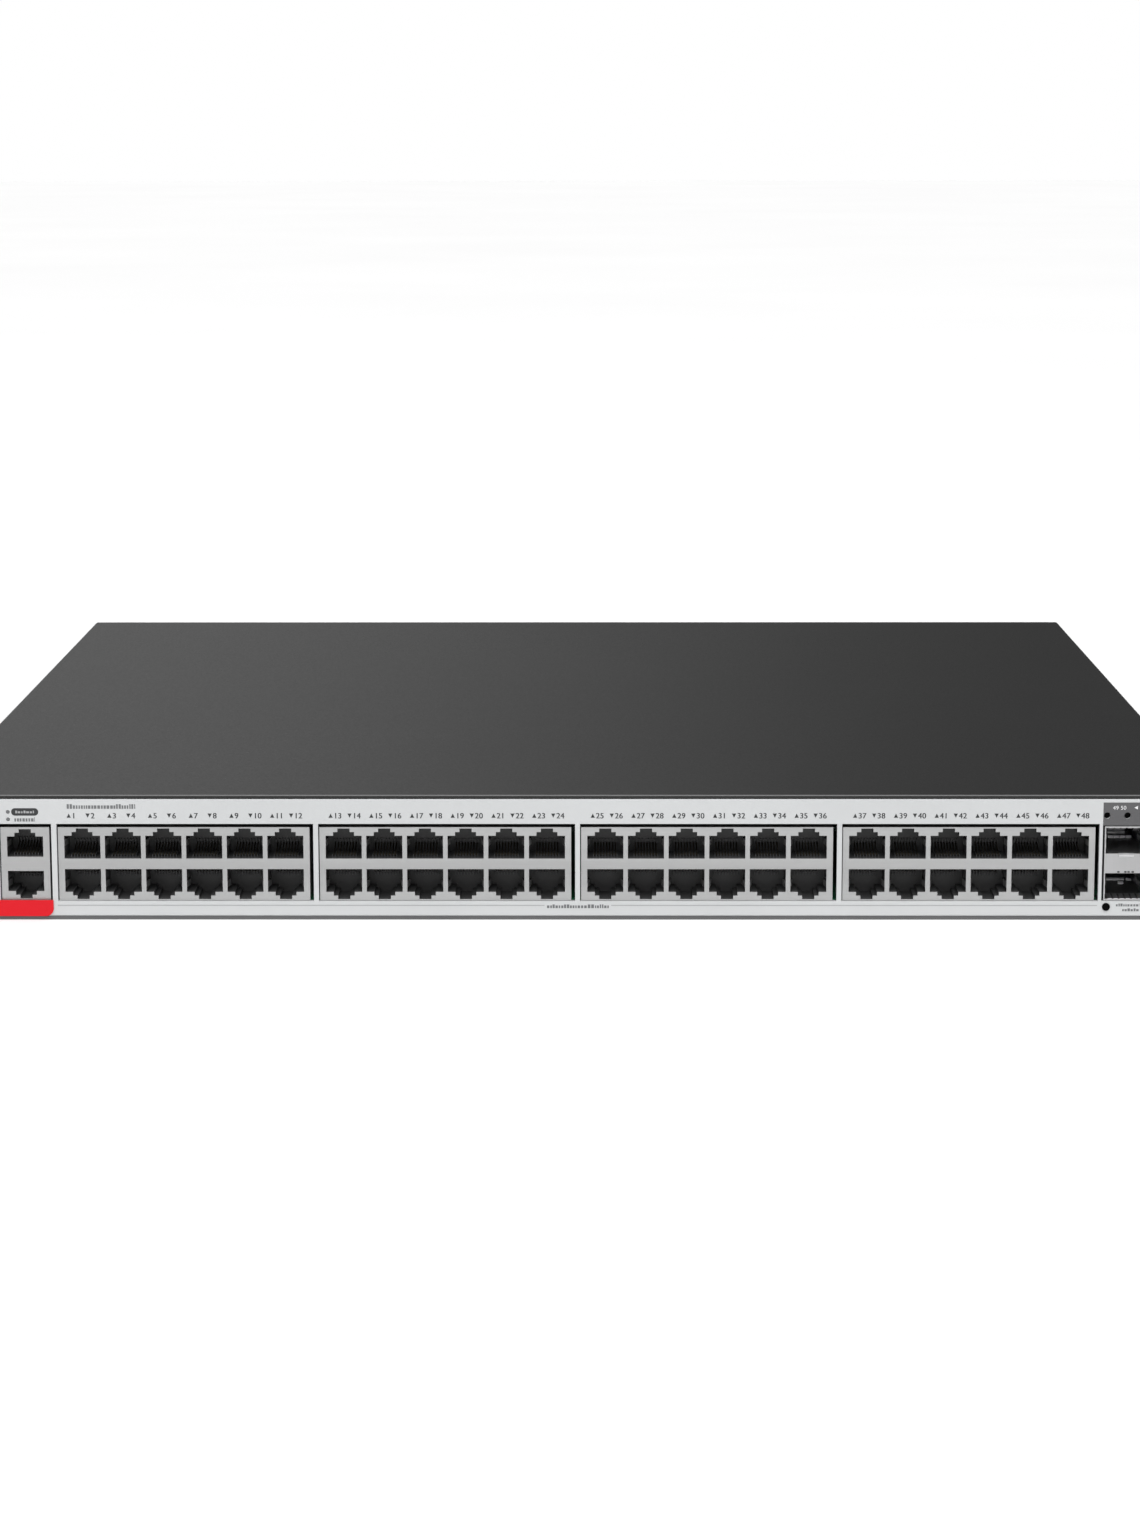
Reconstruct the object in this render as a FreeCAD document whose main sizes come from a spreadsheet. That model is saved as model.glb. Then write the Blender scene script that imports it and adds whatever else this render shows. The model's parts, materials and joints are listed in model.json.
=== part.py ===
import FreeCAD, Part
import os
import re

import Sketcher
from FreeCAD import Placement, Rotation, Vector

# A 1U rackmount network switch with 48 copper ports, four uplink cages, two management
# jacks, two slide-in power supplies and a slide-in fan tray.
# Millimetres. +Z is up, the ports face -Y, and the origin is the centre of the underside.

SIZES = {
    # how far a cutting shape runs past what it cuts
    "over": 1.0,
    # enclosure
    "body_width": 440.0,
    "body_depth": 420.0,
    "body_height": 43.6,
    "sheet": 1.0,
    "floor_sheet": 1.2,
    "fit": 0.1,
    "bend": 1.5,
    "front_roll": 0.5,
    "front_setback": 0.2,
    "cover_low": 0.6,
    "lip_top": 5.6,
    "panel_sheet": 2.0,
    "panel_edge": 0.4,
    "panel_low": 1.3,
    "panel_high": 42.3,
    # side vents
    "vent_first": -150.0,
    "vent_pitch": 6.5,
    "vent_width": 3.0,
    "vent_low": 9.0,
    "vent_high": 35.0,
    "vent_count": 22,
    # rear vents
    "back_vent_first": -190.0,
    "back_vent_pitch": 6.0,
    "back_vent_width": 3.0,
    "back_vent_low": 10.0,
    "back_vent_high": 34.0,
    "back_vent_count": 14,
    # rack ears, to the 19-inch rack's hole spacings
    "ear_sheet": 2.0,
    "ear_reach": 21.3,
    "ear_length": 62.0,
    "ear_setback": 1.0,
    "ear_corner": 2.5,
    "rack_hole_spacing": 465.1,
    "rack_hole_rise": 31.75,
    "rack_slot_radius": 3.4,
    "rack_slot_length": 10.5,
    # the ears' countersunk screws
    "ear_screw_first": 16.0,
    "ear_screw_pitch": 26.0,
    "ear_screw_rise": 22.0,
    "ear_screw_radius": 1.9,
    "ear_screw_head": 3.6,
    "ear_screw_sink": 1.7,
    "ear_screw_length": 7.0,
    "ear_screw_socket": 1.1,
    # the cover's screws, low on both sides
    "cover_screw_line": 6.0,
    "cover_screw_front": 120.0,
    "cover_screw_middle": 20.0,
    "cover_screw_rear": 40.0,
    "cover_screw_radius": 1.45,
    "cover_screw_head": 2.9,
    "cover_screw_rim": 2.2,
    "cover_screw_rise": 1.3,
    "cover_screw_length": 4.5,
    "cover_screw_socket": 0.9,
    # copper port stacks, two rows of six in each of four groups
    "group_pitch": 89.9,
    "group_window": 88.2,
    "window_low": 6.5,
    "window_high": 33.6,
    "first_group": -132.5,
    "stack_offset": -0.5,
    "stack_width": 86.5,
    "stack_setback": 0.8,
    "stack_depth": 25.0,
    "stack_low": 6.6,
    "stack_high": 32.3,
    "skin": 0.3,
    "port_pitch": 13.97,
    "port_width": 12.4,
    "port_body": 8.0,
    "port_step_width": 7.2,
    "port_step": 1.3,
    "port_key_width": 4.2,
    "port_key": 1.25,
    "port_bar": 3.7,
    "port_depth": 13.0,
    "contact_pitch": 1.02,
    "contact_width": 0.45,
    "contact_thick": 0.35,
    "contact_start": 0.7,
    "contact_rise": 2.4,
    "contact_run": 9.5,
    # management jacks
    "service_centre": -187.6,
    "service_width": 16.8,
    "service_window_left": -196.4,
    "service_window_right": -178.4,
    "service_body": 7.1,
    "service_bar": 5.0,
    # uplink cages, two rows of two, and the edge connector deep in each
    "cage_left": 183.2,
    "cage_width": 29.2,
    "cage_high": 32.6,
    "cage_depth": 49.0,
    "cage_mouth_width": 14.1,
    "cage_mouth_height": 9.0,
    "cage_upper": 23.1,
    "cage_lower": 7.2,
    "cage_pitch": 14.25,
    "socket_inset": 1.0,
    "socket_length": 9.0,
    "socket_height": 5.6,
    "socket_wall": 1.0,
    "card_slot_low": 2.2,
    "card_slot_high": 3.6,
    "card_slot_depth": 7.0,
    # plate over the uplink cages
    "label_left": 182.4,
    "label_right": 215.4,
    "label_low": 33.0,
    "label_high": 41.1,
    "label_thick": 0.3,
    # lamps and their light pipes
    "lamp_line": 36.5,
    "lamp_side": 1.5,
    "lamp_up_offset": 1.9,
    "lamp_down_offset": 8.4,
    "lamp_gap": 0.06,
    "lamp_length": 12.0,
    "uplink_lamp": 183.8,
    "uplink_lamp_pitch": 6.95,
    "uplink_lamp_radius": 1.1,
    "uplink_lamp_sunk": 1.5,
    "service_lamp": -193.1,
    "service_lamp_rise": 2.6,
    "service_lamp_radius": 0.6,
    "status_lamp": -212.5,
    "status_lamp_pitch": 6.5,
    "status_lamp_radius": 1.0,
    "pipe_gap": 0.4,
    "pipe_top": 38.6,
    "pipe_head": 3.6,
    "pipe_shelf_high": 36.0,
    "pipe_shelf_low": 34.4,
    "pipe_sheet": 1.5,
    # mode button and the switch behind it
    "button_centre": 184.1,
    "button_line": 4.55,
    "button_radius": 1.3,
    "button_travel": 0.5,
    "button_proud": 0.4,
    "button_length": 4.6,
    "button_collar": 0.6,
    "button_notch": 4.8,
    "plunger_radius": 0.7,
    "plunger_length": 1.15,
    "plunger_gap": 0.05,
    "switch_width": 6.0,
    "switch_depth": 3.6,
    "switch_gap": 0.6,
    # model badge
    "badge_right": -178.2,
    "badge_low": 1.3,
    "badge_high": 6.9,
    "badge_thick": 0.5,
    "badge_corner": 2.6,
    # main board, its standoffs and screws
    "board_low": 5.0,
    "board_sheet": 1.6,
    "board_half_width": 215.0,
    "board_front": -206.3,
    "board_notch": 6.0,
    "board_step": -2.0,
    "board_rear": 125.0,
    "board_corner": 16.0,
    "board_hole": 1.6,
    "standoff_radius": 3.0,
    "standoff_bore": 1.3,
    "board_screw_radius": 1.25,
    "board_screw_head": 2.7,
    "board_screw_rim": 2.0,
    "board_screw_rise": 1.8,
    "board_screw_socket": 0.9,
    # chips and heat sinks
    "chip_rise": 2.4,
    "sink_base": 3.0,
    "sink_fin": 1.0,
    "main_sink_side": 78.0,
    "main_sink_top": 36.0,
    "small_sink_over": 8.0,
    "small_sink_top": 22.0,
    # power-over-ethernet board, its headers and its coils
    "poe_left": -200.0,
    "poe_right": 170.0,
    "poe_front": -180.0,
    "poe_rear": -148.0,
    "poe_line": 25.0,
    "header_width": 30.0,
    "header_front": -162.0,
    "header_rear": -156.0,
    "coil_first": -180.0,
    "coil_pitch": 28.0,
    "coil_width": 14.0,
    "coil_front": -176.0,
    "coil_rear": -164.0,
    "coil_rise": 7.0,
    # backplane and its connectors
    "backplane_left": 30.0,
    "backplane_right": 207.0,
    "backplane_face": 5.6,
    "backplane_top": 38.0,
    "mate_left": 34.0,
    "mate_right": 4.0,
    "mate_reach": 18.0,
    "mate_low": 3.2,
    "mate_high": 11.0,
    "mate_wall": 3.0,
    "edge_slot_low": 5.8,
    "edge_slot_high": 8.0,
    "link_width": 28.0,
    "link_top": 14.0,
    "link_depth": 8.0,
    # power supplies
    "supply_first": 74.0,
    "supply_pitch": 90.0,
    "supply_width": 86.0,
    "supply_low": 1.6,
    "supply_height": 39.8,
    "supply_length": 190.0,
    "supply_sheet": 0.8,
    "bay_width": 87.0,
    "flange_width": 88.8,
    "flange_sheet": 1.0,
    "flange_rise": 0.4,
    "supply_mouth_low": 2.0,
    "supply_mouth_high": 12.0,
    "supply_vent_first": -36.0,
    "supply_vent_pitch": 6.0,
    "supply_vent_width": 3.0,
    "supply_vent_low": 16.0,
    "supply_vent_high": 36.0,
    "supply_vent_count": 12,
    "supply_fan_offset": -22.4,
    # mains inlets
    "inlet_offset": 18.0,
    "inlet_width": 27.0,
    "inlet_height": 19.6,
    "inlet_depth": 18.0,
    "inlet_rim_width": 30.4,
    "inlet_rim_height": 23.2,
    "inlet_rim": 2.2,
    "inlet_corner": 2.0,
    "inlet_mouth_width": 24.4,
    "inlet_mouth_height": 16.0,
    "inlet_chamfer": 4.6,
    "inlet_mouth_depth": 17.6,
    "inlet_pin_width": 2.0,
    "inlet_pin_height": 5.0,
    "inlet_pin_back": 15.4,
    # handles
    "handle_offset": -0.4,
    "handle_reach": 24.0,
    "handle_low": 8.0,
    "handle_high": 35.0,
    "handle_bar": 3.0,
    "handle_bend": 5.0,
    "handle_edge": 1.2,
    # release levers and their pivots
    "latch_offset": 38.2,
    "latch_pivot": 20.0,
    "latch_half_sheet": 1.2,
    "latch_height": 12.0,
    "latch_heel": 3.0,
    "latch_tongue": 9.0,
    "latch_curl": 13.0,
    "latch_tip": 14.5,
    "latch_flare": 1.6,
    "hook_height": 8.0,
    "hook_front": 9.0,
    "hook_nose": 7.6,
    "hook_rear": 5.0,
    "pivot_radius": 1.5,
    "pivot_length": 20.4,
    "pivot_ear_offset": 9.6,
    "pivot_ear_sheet": 1.2,
    "pivot_ear_depth": 8.0,
    # inside a supply
    "supply_board_low": 6.0,
    "supply_board_half_width": 40.0,
    "supply_board_rear": 34.0,
    "supply_coil_offset": 4.0,
    "supply_coil_width": 32.0,
    "supply_coil_line": 87.0,
    "supply_coil_depth": 34.0,
    "supply_coil_high": 34.0,
    "tank_radius": 9.0,
    "tank_height": 26.0,
    "tank_pitch": 28.0,
    "tank_line": 134.0,
    # the heat-sink bar on its board
    "supply_bar_offset": 35.0,
    "supply_bar_width": 4.0,
    "supply_bar_line": 80.0,
    "supply_bar_length": 80.0,
    "supply_bar_high": 36.0,
    # fans
    "fan_size": 38.0,
    "fan_depth": 28.0,
    "fan_bore": 17.7,
    "fan_line": 21.4,
    "fan_hole_offset": 16.0,
    "fan_hole_radius": 1.6,
    "strut_half_width": 1.1,
    "strut_depth": 2.5,
    "boss_depth": 3.5,
    "bearing_radius": 1.55,
    "shaft_radius": 1.5,
    "shaft_inset": 0.5,
    "shaft_length": 5.0,
    "hub_radius": 9.5,
    "hub_inset": 4.0,
    "hub_shorter": 6.0,
    "blade_tip": 16.4,
    "blade_thick": 1.2,
    "blade_half_run": 9.0,
    "blade_half_rise": 4.0,
    "blade_root": 1.0,
    # grilles in front of the fans
    "grille_slot": 2.4,
    "grille_pitch": 4.2,
    "grille_width": 32.0,
    "grille_count": 8,
    # fan tray and its thumbscrew
    "tray_centre": -40.0,
    "tray_width": 84.0,
    "tray_length": 40.0,
    "tray_low": 1.4,
    "tray_high": 40.0,
    "tray_face_left": 59.0,
    "tray_face_low": 1.6,
    "tray_face_high": 41.8,
    "tray_fan_offset": 20.6,
    "knob_offset": -51.0,
    "knob_radius": 4.0,
    "knob_length": 12.0,
    "knob_gap": 0.2,
    "knob_shank": 1.5,
    "knob_shank_reach": 4.0,
    "knob_slot": 1.2,
    # ground screw
    "ground_across": -204.0,
    "ground_line": 14.0,
    "ground_shank": 1.7,
    "ground_reach": 5.0,
    "ground_head": 3.2,
    "ground_rise": 2.4,
    "ground_washer": 4.0,
    "ground_washer_sheet": 0.8,
    "ground_slot": 1.0,
}

# Places along an axis, each worked out from the sizes.
PLACES = {
    "front": "0 - body_depth / 2",
    "rear": "body_depth / 2",
    "side_out": "body_width / 2",
    "side_in": "body_width / 2 - sheet",
    "tray_out": "body_width / 2 - sheet - fit",
    "tray_in": "body_width / 2 - 2 * sheet - fit",
    "lid_under": "body_height - sheet",
    "flange_top": "body_height - sheet - 2 * fit",
    "panel_back": "0 - body_depth / 2 + panel_sheet",
    "lip_front": "0 - body_depth / 2 + panel_sheet + fit",
    "stack_front": "0 - body_depth / 2 + stack_setback",
    "stack_middle": "(stack_low + stack_high) / 2",
    "cavity_back": "0 - body_depth / 2 + stack_setback + port_depth",
    "cage_back": "stack_front + cage_depth - skin",
    "pipe_front": "panel_back + pipe_gap",
    "pipe_back": "stack_front + stack_depth + pipe_gap + pipe_sheet",
    "button_back": "front - button_proud + button_length",
    "board_top": "board_low + board_sheet",
    "chip_top": "board_top + chip_rise",
    "poe_top": "poe_line + board_sheet",
    "ear_face": "0 - body_depth / 2 + ear_setback",
    "bay_front": "body_depth / 2 - supply_length",
    "flange_back": "body_depth / 2 + flange_sheet",
    "latch_line": "rear - latch_pivot",
    "knob_across": "tray_centre + knob_offset",
}

GROUPS = 4
PORT_COLUMNS = 6
CONTACTS = 8
BLADES = 7
MAIN_AXIS_PLANES = {"XY_Plane": 1, "XZ_Plane": -1, "YZ_Plane": 1}  # sign of each sketch normal

doc = FreeCAD.newDocument("rack_switch")
nodes = []


# ---------------------------------------------------------------- sizes


def make_sheet():
    """The spreadsheet that every sub-part's sizes are bound to."""
    made = doc.addObject("Spreadsheet::Sheet", "Sizes")
    for row, (alias, number) in enumerate(SIZES.items(), 1):
        made.set(f"A{row}", alias)
        made.set(f"B{row}", str(number))
        made.setAlias(f"B{row}", alias)
    doc.recompute()
    return made


sizes = make_sheet()


def bound(text):
    """An expression in which each size and place has become a reference to the spreadsheet."""

    def replace(match):
        word = match.group()
        if word in PLACES:
            return f"({bound(PLACES[word])})"
        return f"Sizes.{word}" if word in SIZES else word

    return re.sub(r"[a-z_]+", replace, str(text))


def value(text):
    return float(sizes.evalExpression(bound(text)))


def bind(target, setting, text):
    target.setExpression(setting, bound(text))


def node(target, label):
    """Names a finished sub-part and lists it for export."""
    target.Label = label
    nodes.append(target)
    return target


# ---------------------------------------------------------------- primitives


def block(name, x, y, z):
    """A box between two places along each axis."""
    made = doc.addObject("Part::Box", name)
    for setting, axis, (low, high) in zip(("Length", "Width", "Height"), "xyz", (x, y, z)):
        bind(made, setting, f"({high}) - ({low})")
        bind(made, f"Placement.Base.{axis}", low)
    return made


TURNS = {
    "x": Rotation(Vector(0, 1, 0), 90),
    "y": Rotation(Vector(1, 0, 0), -90),
    "z": Rotation(),
}


def rod(name, axis, radius, start, length, x="0", y="0", z="0", tip=None):
    """A cylinder, or a cone where tip is given, that starts at a place and runs along +axis."""
    made = doc.addObject("Part::Cone" if tip else "Part::Cylinder", name)
    made.Placement = Placement(Vector(), TURNS[axis])
    centre = {"x": x, "y": y, "z": z, axis: start}
    for letter, text in centre.items():
        bind(made, f"Placement.Base.{letter}", text)
    bind(made, "Radius1" if tip else "Radius", radius)
    if tip:
        bind(made, "Radius2", tip)
    bind(made, "Height", length)
    return made


def join(name, shapes):
    made = doc.addObject("Part::MultiFuse", name)
    made.Shapes = shapes
    return made


def take(name, base, tool):
    made = doc.addObject("Part::Cut", name)
    made.Base = base
    made.Tool = tool
    return made


def group(name, shapes):
    """Separate solids that share one node."""
    made = doc.addObject("Part::Compound", name)
    made.Links = shapes
    return made


# ---------------------------------------------------------------- PartDesign


def new_body(name):
    return doc.addObject("PartDesign::Body", name)


def datum(body, role):
    return next(f for f in body.Origin.OriginFeatures if f.Role == role)


def sketch_on(body, role, at="0"):
    """A sketch on one of the body's own origin planes, moved to a place along its axis."""
    made = body.newObject("Sketcher::SketchObject", f"{body.Name}_sketch")
    made.AttachmentSupport = [(datum(body, role), "")]
    made.MapMode = "FlatFace"
    sign = "" if MAIN_AXIS_PLANES[role] > 0 else "0 - "
    bind(made, "AttachmentOffset.Base.z", f"{sign}({at})")
    return made


def hold(sketch, kind, geometry, point, text):
    """Holds one coordinate of a point at a place measured from the sketch's origin."""
    rule = Sketcher.Constraint(kind, -1, 1, geometry, point, value(text))
    bind(sketch, f"Constraints[{sketch.addConstraint(rule)}]", text)


def outline(sketch, corners):
    """A closed polygon through the corners, each a pair of places."""
    first = sketch.GeometryCount
    points = [Vector(value(u), value(v), 0) for u, v in corners]
    for start, end in zip(points, points[1:] + points[:1]):
        sketch.addGeometry(Part.LineSegment(start, end))
    last = first + len(points) - 1
    for index, (u, v) in enumerate(corners):
        line = first + index
        before = last if index == 0 else line - 1
        sketch.addConstraint(Sketcher.Constraint("Coincident", before, 2, line, 1))
        hold(sketch, "DistanceX", line, 1, u)
        hold(sketch, "DistanceY", line, 1, v)


def rectangle(sketch, low_u, high_u, low_v, high_v):
    outline(sketch, [(low_u, low_v), (high_u, low_v), (high_u, high_v), (low_u, high_v)])


def circle(sketch, u, v, radius):
    centre = Vector(value(u), value(v), 0)
    made = sketch.addGeometry(Part.Circle(centre, Vector(0, 0, 1), value(radius)))
    hold(sketch, "DistanceX", made, 3, u)
    hold(sketch, "DistanceY", made, 3, v)
    rule = Sketcher.Constraint("Radius", made, value(radius))
    bind(sketch, f"Constraints[{sketch.addConstraint(rule)}]", radius)


def extrude(sketch, length, towards=1, both_ways=False, cut=False):
    """A Pad, or a Pocket where cut is set, towards the + or - end of the sketch's axis."""
    body = sketch.getParentGeoFeatureGroup()
    kind = "Pocket" if cut else "Pad"
    made = body.newObject(f"PartDesign::{kind}", f"{body.Name}_{kind.lower()}")
    made.Profile = sketch
    bind(made, "Length", length)
    role = sketch.AttachmentSupport[0][0].Role
    usual = MAIN_AXIS_PLANES[role] * (-1 if cut else 1)
    if both_ways:
        made.SideType = "Symmetric"
    else:
        made.Reversed = usual != towards
    sketch.Visibility = False
    return made


def cut(sketch, length, towards=1, both_ways=False):
    return extrude(sketch, length, towards, both_ways, cut=True)


def steps_along(body, axis, count, pitch):
    """A pattern that still needs the features it repeats."""
    made = body.newObject("PartDesign::LinearPattern", f"{body.Name}_row")
    made.Direction = (datum(body, f"{axis}_Axis"), [""])
    made.Mode = "Spacing"
    bind(made, "Offset", pitch)
    made.Occurrences = count
    return made


def row(features, axis, *steps):
    """The features repeated along an axis, with each further step repeating the row before it."""
    body = features[0].getParentGeoFeatureGroup()
    if len(steps) == 1:
        made = steps_along(body, axis, *steps[0])
    else:
        made = body.newObject("PartDesign::MultiTransform", f"{body.Name}_rows")
        made.Transformations = [steps_along(body, axis, *step) for step in steps]
    made.Originals = features
    body.Tip = made
    return made


def ring(features, axis, count):
    """The features repeated round an axis of their body."""
    body = features[0].getParentGeoFeatureGroup()
    made = body.newObject("PartDesign::PolarPattern", f"{body.Name}_ring")
    made.Originals = features
    made.Axis = (datum(body, f"{axis}_Axis"), [""])
    made.Angle = 360
    made.Occurrences = count
    body.Tip = made
    return made


def round_edges(body, radius, wanted):
    """A Fillet on the edges of the body's tip whose middle the test accepts."""
    doc.recompute()
    tip = body.Tip
    names = []
    for number, edge in enumerate(tip.Shape.Edges, 1):
        middle = edge.valueAt((edge.FirstParameter + edge.LastParameter) / 2)
        along = edge.tangentAt(edge.FirstParameter)
        if wanted(middle, along):
            names.append(f"Edge{number}")
    made = body.newObject("PartDesign::Fillet", f"{body.Name}_fillet")
    made.Base = (tip, names)
    bind(made, "Radius", radius)
    return made


def near(a, text):
    return abs(a - value(text)) < 0.01


# ---------------------------------------------------------------- enclosure

EAR_SCREWS = [
    (
        f"ear_face + ear_screw_first + {step} * ear_screw_pitch",
        f"body_height / 2 + {side} * ear_screw_rise / 2",
    )
    for step in (0, 1)
    for side in (-1, 1)
]
COVER_SCREWS = [
    ("front + cover_screw_front", "cover_screw_line"),
    ("cover_screw_middle", "cover_screw_line"),
    ("rear - cover_screw_rear", "cover_screw_line"),
]
BAYS = [
    ("supply_first", "bay_width"),
    ("supply_first + supply_pitch", "bay_width"),
    ("tray_centre", "tray_width + 1"),
]


def screw_holes(body, places, radius):
    """Round holes along X through both sides of a body."""
    sketch = sketch_on(body, "YZ_Plane")
    for y, z in places:
        circle(sketch, y, z, radius)
    return cut(sketch, "body_width * 2", both_ways=True)


def make_base_tray():
    body = new_body("base_tray")
    channel = sketch_on(body, "XZ_Plane", "front + front_setback")
    outline(channel, [
        ("0 - tray_out", "0"), ("tray_out", "0"), ("tray_out", "flange_top"), ("tray_in", "flange_top"),
        ("tray_in", "floor_sheet"), ("0 - tray_in", "floor_sheet"),
        ("0 - tray_in", "flange_top"), ("0 - tray_out", "flange_top"),
    ])
    extrude(channel, "body_depth - front_setback", 1)
    round_edges(body, "sheet", lambda at, along: abs(along.y) > 0.99 and near(at.z, "0"))

    back_wall = sketch_on(body, "XZ_Plane", "rear")
    rectangle(back_wall, "0 - tray_out + sheet", "tray_out - sheet", "floor_sheet / 2", "flange_top")
    extrude(back_wall, "sheet", -1)

    lip = sketch_on(body, "XZ_Plane", "lip_front")
    rectangle(lip, "0 - tray_in - sheet / 2", "tray_in + sheet / 2", "floor_sheet / 2", "lip_top")
    extrude(lip, "sheet", 1)

    flange_relief = sketch_on(body, "XY_Plane", "body_height")
    rectangle(flange_relief, "0 - side_out", "side_out", "front - over", "lip_front")
    cut(flange_relief, "body_height - floor_sheet", -1)

    button_notch = sketch_on(body, "XZ_Plane", "lip_front")
    rectangle(
        button_notch, "button_centre - button_notch / 2", "button_centre + button_notch / 2",
        "floor_sheet + 2 * fit", "lip_top + over",
    )
    cut(button_notch, "sheet", 1)

    bays = sketch_on(body, "XZ_Plane", "rear")
    for centre, width in BAYS:
        left, right = f"{centre} - ({width}) / 2", f"{centre} + ({width}) / 2"
        rectangle(bays, left, right, "floor_sheet", "body_height")
    cut(bays, "sheet", -1)

    back_holes = sketch_on(body, "XZ_Plane", "rear")
    circle(back_holes, "knob_across", "fan_line", "knob_shank + fit")
    circle(back_holes, "ground_across", "ground_line", "ground_shank + fit")
    cut(back_holes, "sheet", -1)

    back_vent = sketch_on(body, "XZ_Plane", "rear")
    rectangle(
        back_vent, "back_vent_first", "back_vent_first + back_vent_width", "back_vent_low", "back_vent_high"
    )
    row([cut(back_vent, "sheet", -1)], "X", (int(SIZES["back_vent_count"]), "back_vent_pitch"))

    side_window = sketch_on(body, "YZ_Plane")
    rectangle(
        side_window, "vent_first - 2 * over", "vent_first + vent_count * vent_pitch",
        "vent_low - over", "vent_high + over",
    )
    cut(side_window, "body_width * 2", both_ways=True)
    screw_holes(body, EAR_SCREWS, "ear_screw_radius + fit / 2")
    screw_holes(body, COVER_SCREWS, "cover_screw_radius + fit / 2")
    return node(body, "base_tray")


def make_top_cover():
    body = new_body("top_cover")
    channel = sketch_on(body, "XZ_Plane", "front")
    outline(channel, [
        ("0 - side_out", "cover_low"), ("0 - side_in", "cover_low"),
        ("0 - side_in", "lid_under"), ("side_in", "lid_under"),
        ("side_in", "cover_low"), ("side_out", "cover_low"),
        ("side_out", "body_height"), ("0 - side_out", "body_height"),
    ])
    extrude(channel, "body_depth", 1)
    round_edges(body, "bend", lambda at, along: abs(along.y) > 0.99 and near(at.z, "body_height"))
    round_edges(
        body, "front_roll",
        lambda at, along: abs(along.x) > 0.99 and near(at.y, "front") and near(at.z, "body_height"),
    )

    vent = sketch_on(body, "YZ_Plane")
    rectangle(vent, "vent_first", "vent_first + vent_width", "vent_low", "vent_high")
    slot = cut(vent, "body_width * 2", both_ways=True)
    row([slot], "Y", (int(SIZES["vent_count"]), "vent_pitch"))
    screw_holes(body, EAR_SCREWS, "ear_screw_radius + 4 * fit")
    screw_holes(body, COVER_SCREWS, "cover_screw_radius + 2.5 * fit")
    return node(body, "top_cover")


def triangle(sketch, centre, direction, grow="0"):
    """A small lamp window that points up (1) or down (-1)."""
    half = f"(lamp_side / 2 + {grow})"
    outline(sketch, [
        (f"{centre} - {half}", f"lamp_line - {direction} * {half}"),
        (f"{centre} + {half}", f"lamp_line - {direction} * {half}"),
        (centre, f"lamp_line + {direction} * {half}"),
    ])


STACK_FIRST = "first_group + stack_offset"
FIRST_PORT_LEFT = f"({STACK_FIRST} - 2.5 * port_pitch - port_width / 2)"


def lamp_pair(sketch, grow="0"):
    triangle(sketch, f"{FIRST_PORT_LEFT} + lamp_up_offset", 1, grow)
    triangle(sketch, f"{FIRST_PORT_LEFT} + lamp_down_offset", -1, grow)


UPLINK_LAMPS = [
    (f"uplink_lamp + {column} * cage_pitch + {lamp} * uplink_lamp_pitch", "lamp_line")
    for column in (0, 1)
    for lamp in (0, 1)
]
SERVICE_LAMPS = [("service_lamp", f"lamp_line + {side} * service_lamp_rise / 2") for side in (1, -1)]
STATUS_LAMPS = [
    (f"status_lamp + {column} * status_lamp_pitch", f"lamp_line - {step} * status_lamp_pitch")
    for column in (0, 1)
    for step in (0, 1, 2)
]


def make_front_panel():
    body = new_body("front_panel")
    plate = sketch_on(body, "XZ_Plane", "front")
    rectangle(plate, "0 - side_in + fit", "side_in - fit", "panel_low", "panel_high")
    extrude(plate, "panel_sheet", 1)
    round_edges(body, "panel_edge", lambda at, along: near(at.y, "front"))

    window = sketch_on(body, "XZ_Plane", "front")
    left, right = "first_group - group_window / 2", "first_group + group_window / 2"
    rectangle(window, left, right, "window_low", "window_high")
    row([cut(window, "panel_sheet", 1)], "X", (GROUPS, "group_pitch"))

    ends = sketch_on(body, "XZ_Plane", "front")
    rectangle(ends, "service_window_left", "service_window_right", "window_low", "window_high")
    rectangle(ends, "label_left", "cage_left + cage_width + panel_edge", "window_low", "label_low")
    cut(ends, "panel_sheet", 1)

    label_seat = sketch_on(body, "XZ_Plane", "front")
    rectangle(label_seat, "label_left", "label_right", "label_low", "label_high")
    cut(label_seat, "label_thick", 1)

    lamps = sketch_on(body, "XZ_Plane", "front")
    lamp_pair(lamps)
    row([cut(lamps, "panel_sheet", 1)], "X", (PORT_COLUMNS, "port_pitch"), (GROUPS, "group_pitch"))

    holes = sketch_on(body, "XZ_Plane", "front")
    for x, z in UPLINK_LAMPS:
        circle(holes, x, z, "uplink_lamp_radius + lamp_gap")
    for x, z in SERVICE_LAMPS:
        circle(holes, x, z, "service_lamp_radius + lamp_gap")
    for x, z in STATUS_LAMPS:
        circle(holes, x, z, "status_lamp_radius + lamp_gap")
    circle(holes, "button_centre", "button_line", "button_radius + fit")
    cut(holes, "panel_sheet", 1)
    return node(body, "front_panel")


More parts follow.
